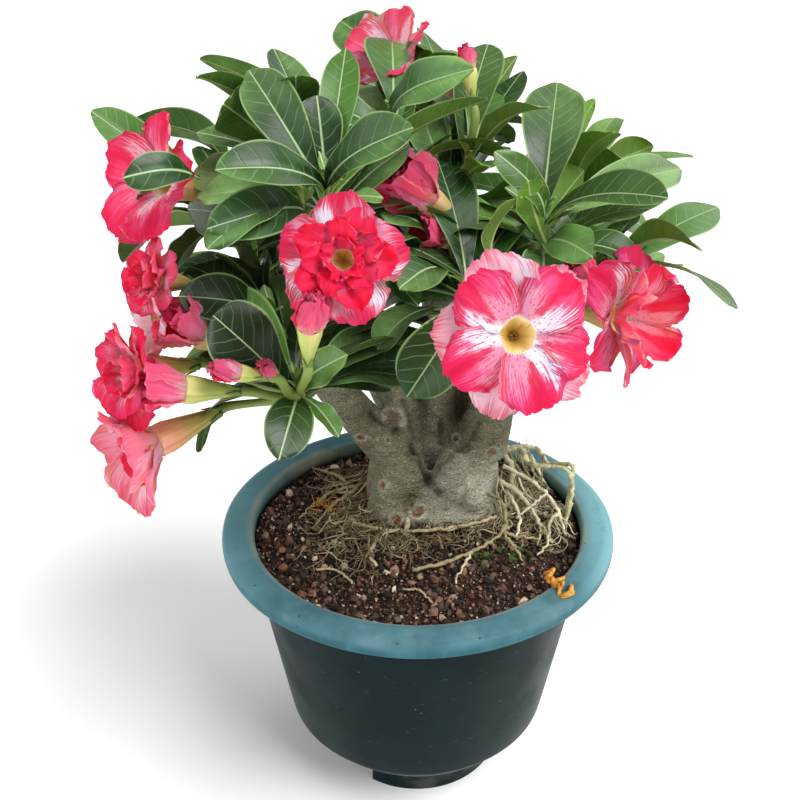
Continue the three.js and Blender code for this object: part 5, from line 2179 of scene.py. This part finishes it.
FLOWERS = (
    Flower(
        "flower_front_right", (45, -122, 372), (176, 24), 36, (27, -50, 360),
        (
            Whorl(33.5, 37, (4, -16), 40, 2.2, Tone.PALE, stand=-3.6),
            Whorl(
                29.5, 37, (30, -12), 60, 2.8, Tone.STREAKED,
                stand=0.3, twist=0.18, turns=(-14, 50, 134, 212, 288), lap=1.25,
            ),
        ),
        double=True, fine=27,
    ),
    Flower(
        "flower_front_left", (-37, -116, 408), (178, 22), 30, (-49, -44, 408),
        (
            Whorl(
                25, 33, (14, -12), 14, 1.8, Tone.EDGED,
                foot=6.2, stand=-1.5, turns=(93, 17, 289, 230, 168),
            ),
            Whorl(
                20, 20, (36, 2), 50, 3.6, Tone.CRIMSON,
                foot=6.0, stand=0.5, turns=(146, 62, 358, 290, 214),
            ),
            Whorl(
                15, 16, (52, 20), 50, 3.4, Tone.CRIMSON,
                foot=5.8, stand=1.0, turns=(102, 30, 318, 250, 180),
            ),
            Whorl(9, 12, (70, 44), 20, 2.6, Tone.CRIMSON, foot=5.0, stand=1.5),
        ),
        double=True, throat=6.6, fine=21,
    ),
    Flower(
        "flower_right", (113, -40, 348), (134, 10), 30, (100, 4, 346),
        (
            Whorl(33, 36, (26, -14), 54, 2.2, Tone.STREAKED, stand=-1.5),
            Whorl(31, 31, (72, 36), 18, 3.4, Tone.WARM, stand=0.5),
        ),
        double=True, fine=21,
    ),
    Flower(
        "flower_left_high", (-139, -20, 421), (-140, 26), 36, (-104, 22, 370),
        (Whorl(32, 38, (52, 8), 90, 3.0, Tone.ROSY),), fine=21, droop=4.0,
    ),
    Flower(
        "flower_left_middle", (-140, -58, 378), (-138, 22), 26, (-84, -32, 338),
        (
            Whorl(16, 24, (40, -8), 30, 1.3, Tone.PINK, foot=6.2),
            Whorl(14, 19, (66, 36), 66, 1.3, Tone.ROSY, foot=5.6, stand=1.0),
            Whorl(12, 13, (84, 70), 20, 1.1, Tone.WARM, foot=4.0, stand=1.0),
        ),
        throat=6.4,
    ),
    Flower(
        "flower_left_pale", (-142, -60, 355), (-122, 8), 26, (-84, -28, 336),
        (Whorl(17, 22, (40, 4), 60, 1.8, Tone.PALE, foot=7.4),), throat=7.6,
    ),
    Flower(
        "flower_left_low", (-152, -80, 334), (-134, 12), 38, (-70, -70, 316),
        (
            Whorl(22, 35, (36, -4), 66, 1.3, Tone.WARM, stand=-1.0),
            Whorl(18, 29, (54, 20), 30, 1.4, Tone.ROSY, stand=1.0),
            Whorl(12, 15, (76, 74), 50, 1.4, Tone.ROSY, foot=6.4, stand=1.0),
        ),
        double=True, fine=21, droop=2.0,
    ),
    Flower(
        "flower_left_lowest", (-146, -78, 290), (-130, -8), 40, (-68, -66, 312),
        (
            Whorl(33, 38, (68, 26), 40, 2.0, Tone.DUSTY),
            Whorl(18, 20, (80, 60), 76, 1.6, Tone.CRIMSON, foot=6.8, stand=0.5),
        ),
        fine=19, droop=5.0,
    ),
    Flower(
        "flower_crown", (-15, 53, 474), (-142, 48), 30, (8, 68, 436),
        (Whorl(23, 30, (54, 12), 96, 2.0, Tone.PINK),), throat=8.0,
    ),
    Flower(
        "flower_centre_high", (4, -20, 410), (-120, 42), 40, (16, 8, 346),
        (
            Whorl(31, 30, (82, 78), 20, 1.8, Tone.WARM, foot=7.8, lap=1.8),
            Whorl(28, 24, (86, 86), 56, 1.8, Tone.WARM, foot=6.4),
        ),
        warm=0.6, throat=8.0, fine=17,
    ),
    Flower(
        "flower_back_left", (-88, 126, 368), (-30, 15), 32, (-60, 75, 336),
        doubled(10, 32, Tone.STREAKED, Tone.WARM), fine=11,
    ),
    Flower(
        "flower_back_right", (92, 126, 372), (25, 15), 32, (86, 74, 338),
        doubled(50, 32, Tone.STREAKED, Tone.CRIMSON), fine=11,
    ),
    Flower(
        "flower_back_high", (14, 130, 440), (5, 25), 30, (14, 80, 398),
        doubled(20, 30, Tone.PALE, Tone.STREAKED), fine=11,
    ),
)

HALF_OPEN = (
    Flower(
        "bud_open_front", (-53, -126, 380), (165, 66), 28, (-66, -72, 316),
        (
            Whorl(19, 16, (84, 108), 0, 1.6, Tone.CRIMSON, foot=5.8, stand=-1, swirl=30, twist=0.3),
            Whorl(21, 12, (90, 112), 36, 1.2, Tone.WARM, foot=4.4, stand=-1, swirl=40, twist=0.25),
        ),
        throat=5.8, warm=0.0, fine=17,
    ),
    Flower(
        "bud_open_left", (-119, -68, 352), (-125, 44), 22, (-84, -34, 334),
        (
            Whorl(21, 19, (80, 66), 10, 1.5, Tone.PINK, foot=7.0, stand=-2, swirl=15),
            Whorl(20, 14, (88, 96), 46, 1.2, Tone.ROSY, foot=5, stand=-2, swirl=25),
        ),
        throat=7.6, warm=0.5, fine=17,
    ),
    Flower(
        "bud_open_low", (-124, -98, 333), (-112, 14), 30, (-68, -74, 314),
        (
            Whorl(20, 16, (82, 78), 0, 2.2, Tone.WARM, foot=6.8, stand=-2, swirl=25),
            Whorl(19, 13, (86, 104), 36, 1.8, Tone.WARM, foot=4.6, stand=-2, swirl=30),
        ),
        throat=7.2, warm=0.1, fine=17,
    ),
    Flower(
        "bud_centre", (12, -22, 390), (-125, 18), 28, (18, 2, 344),
        (
            Whorl(17, 15, (84, 78), 0, 1.6, Tone.CRIMSON, foot=5.8, stand=-1, swirl=30),
            Whorl(14, 12, (88, 98), 36, 1.4, Tone.CRIMSON, foot=4.2, stand=-1, swirl=40),
        ),
        throat=6.2, warm=0.4,
    ),
)

BUDS = (
    Flower(
        "bud_crown", (28, 23, 473), (-20, 66), 20, (29, 12, 420), closed(12, 14),
        throat=4.2, warm=0.2, fine=11,
    ),
    Flower(
        "bud_right", (92, -44, 374), (-120, 40), 24, (112, 2, 356), closed(16, 24),
        throat=5.2, warm=0.8, fine=11,
    ),
    Flower(
        "bud_small_left", (-93, -104, 345), (-115, 22), 16, (-68, -76, 316), closed(14, 12, Tone.ROSY),
        throat=4.2, warm=0.0, fine=11,
    ),
    Flower(
        "bud_small_right", (-78, -94, 340), (-160, 45), 14, (-67, -77, 317), closed(12, 10, Tone.WARM),
        throat=3.7, warm=0.0, fine=11,
    ),
)


# ---------------------------------------------------------------- studio


@dataclass
class Studio:
    """A white floor, soft lights and the camera."""

    eye: Triple = (-11.0, -553.0, 557.0)
    aim: Triple = (-11.0, 0.0, 276.0)
    lens: float = 44.35
    roll: float = -0.24
    glow: float = 0.27
    floor_half: float = 15.0

    NEAR, FAR = 0.01, 60.0
    SENSOR = 36.0
    WHITE = (1.0, 1.0, 1.0, 1.0)

    def build(self) -> None:
        """Sets up the floor, the lights and the camera."""
        self._camera()
        self._floor()
        self._sun("sky_glow", (0.68, -0.5, 1.0), 38.0, 3.4)
        self._sun("back_glow", (0.9, 0.55, 0.7), 50.0, 1.3)
        self._sun("side_glow", (-0.9, -0.6, 0.4), 60.0, 1.7)
        world = bpy.data.worlds.new("studio")
        world.use_nodes = True
        background = world.node_tree.nodes["Background"]
        background.inputs[0].default_value = self.WHITE
        background.inputs[1].default_value = self.glow
        bpy.context.scene.world = world
        bpy.context.scene.view_settings.view_transform = "Standard"

    def _camera(self) -> None:
        """Places the camera."""
        camera = bpy.data.objects.new("camera", bpy.data.cameras.new("camera"))
        camera.data.lens, camera.data.sensor_width = self.lens, self.SENSOR
        camera.data.clip_start, camera.data.clip_end = self.NEAR, self.FAR
        eye, aim = Vector(self.eye) * MM, Vector(self.aim) * MM
        turn = (aim - eye).to_track_quat("-Z", "Y") @ Quaternion((0, 0, 1), math.radians(self.roll))
        camera.rotation_euler = turn.to_euler()
        camera.location = eye
        bpy.context.scene.collection.objects.link(camera)
        bpy.context.scene.camera = camera

    def _floor(self) -> None:
        """Lays the floor."""
        mesh = bpy.data.meshes.new("floor")
        w = self.floor_half
        mesh.from_pydata([(-w, -w, 0), (w, -w, 0), (w, w, 0), (-w, w, 0)], [], [(0, 1, 2, 3)])
        floor = bpy.data.objects.new("floor", mesh)
        shade = Shade("floor_white", Specular_IOR_Level=0.1)
        shade.colour = shade.blend(shade.grain(3.0), (248, 248, 248), (252, 252, 252))
        mesh.materials.append(shade.wear(0.9))
        bpy.context.scene.collection.objects.link(floor)

    def _sun(self, name: str, source: Triple, breadth: float, strength: float) -> None:
        """Adds a wide, even light.

        Args:
            name: Its name.
            source: The direction that it comes from.
            breadth: How wide it looks, in degrees.
            strength: Its strength.
        """
        lamp = bpy.data.lights.new(name, "SUN")
        lamp.angle, lamp.energy = math.radians(breadth), strength
        light = bpy.data.objects.new(name, lamp)
        light.rotation_euler = (-Vector(source)).to_track_quat("-Z", "Y").to_euler()
        bpy.context.scene.collection.objects.link(light)


def main() -> None:
    """Builds the whole plant."""
    logging.basicConfig(level=logging.INFO, format="%(message)s")
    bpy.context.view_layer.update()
    Studio().build()
    Pot().build()
    soil = Soil()
    soil.build()
    Litter().build()
    Trunk().build()
    Roots(soil).build()
    green = LeafFinish()
    blades = [green.face(), green.back(), green.stem()]
    for i, shoot in enumerate(SHOOTS):
        shoot.build(np.random.default_rng(100 + i), blades)
    red = PetalFinish()
    petals = [red.face(back=False), red.face(back=True), red.tube(), red.throat(), red.sepal()]
    for i, flower in enumerate((*FLOWERS, *HALF_OPEN, *BUDS)):
        flower.build(np.random.default_rng(300 + i), petals)


if __name__ == "__main__":
    main()
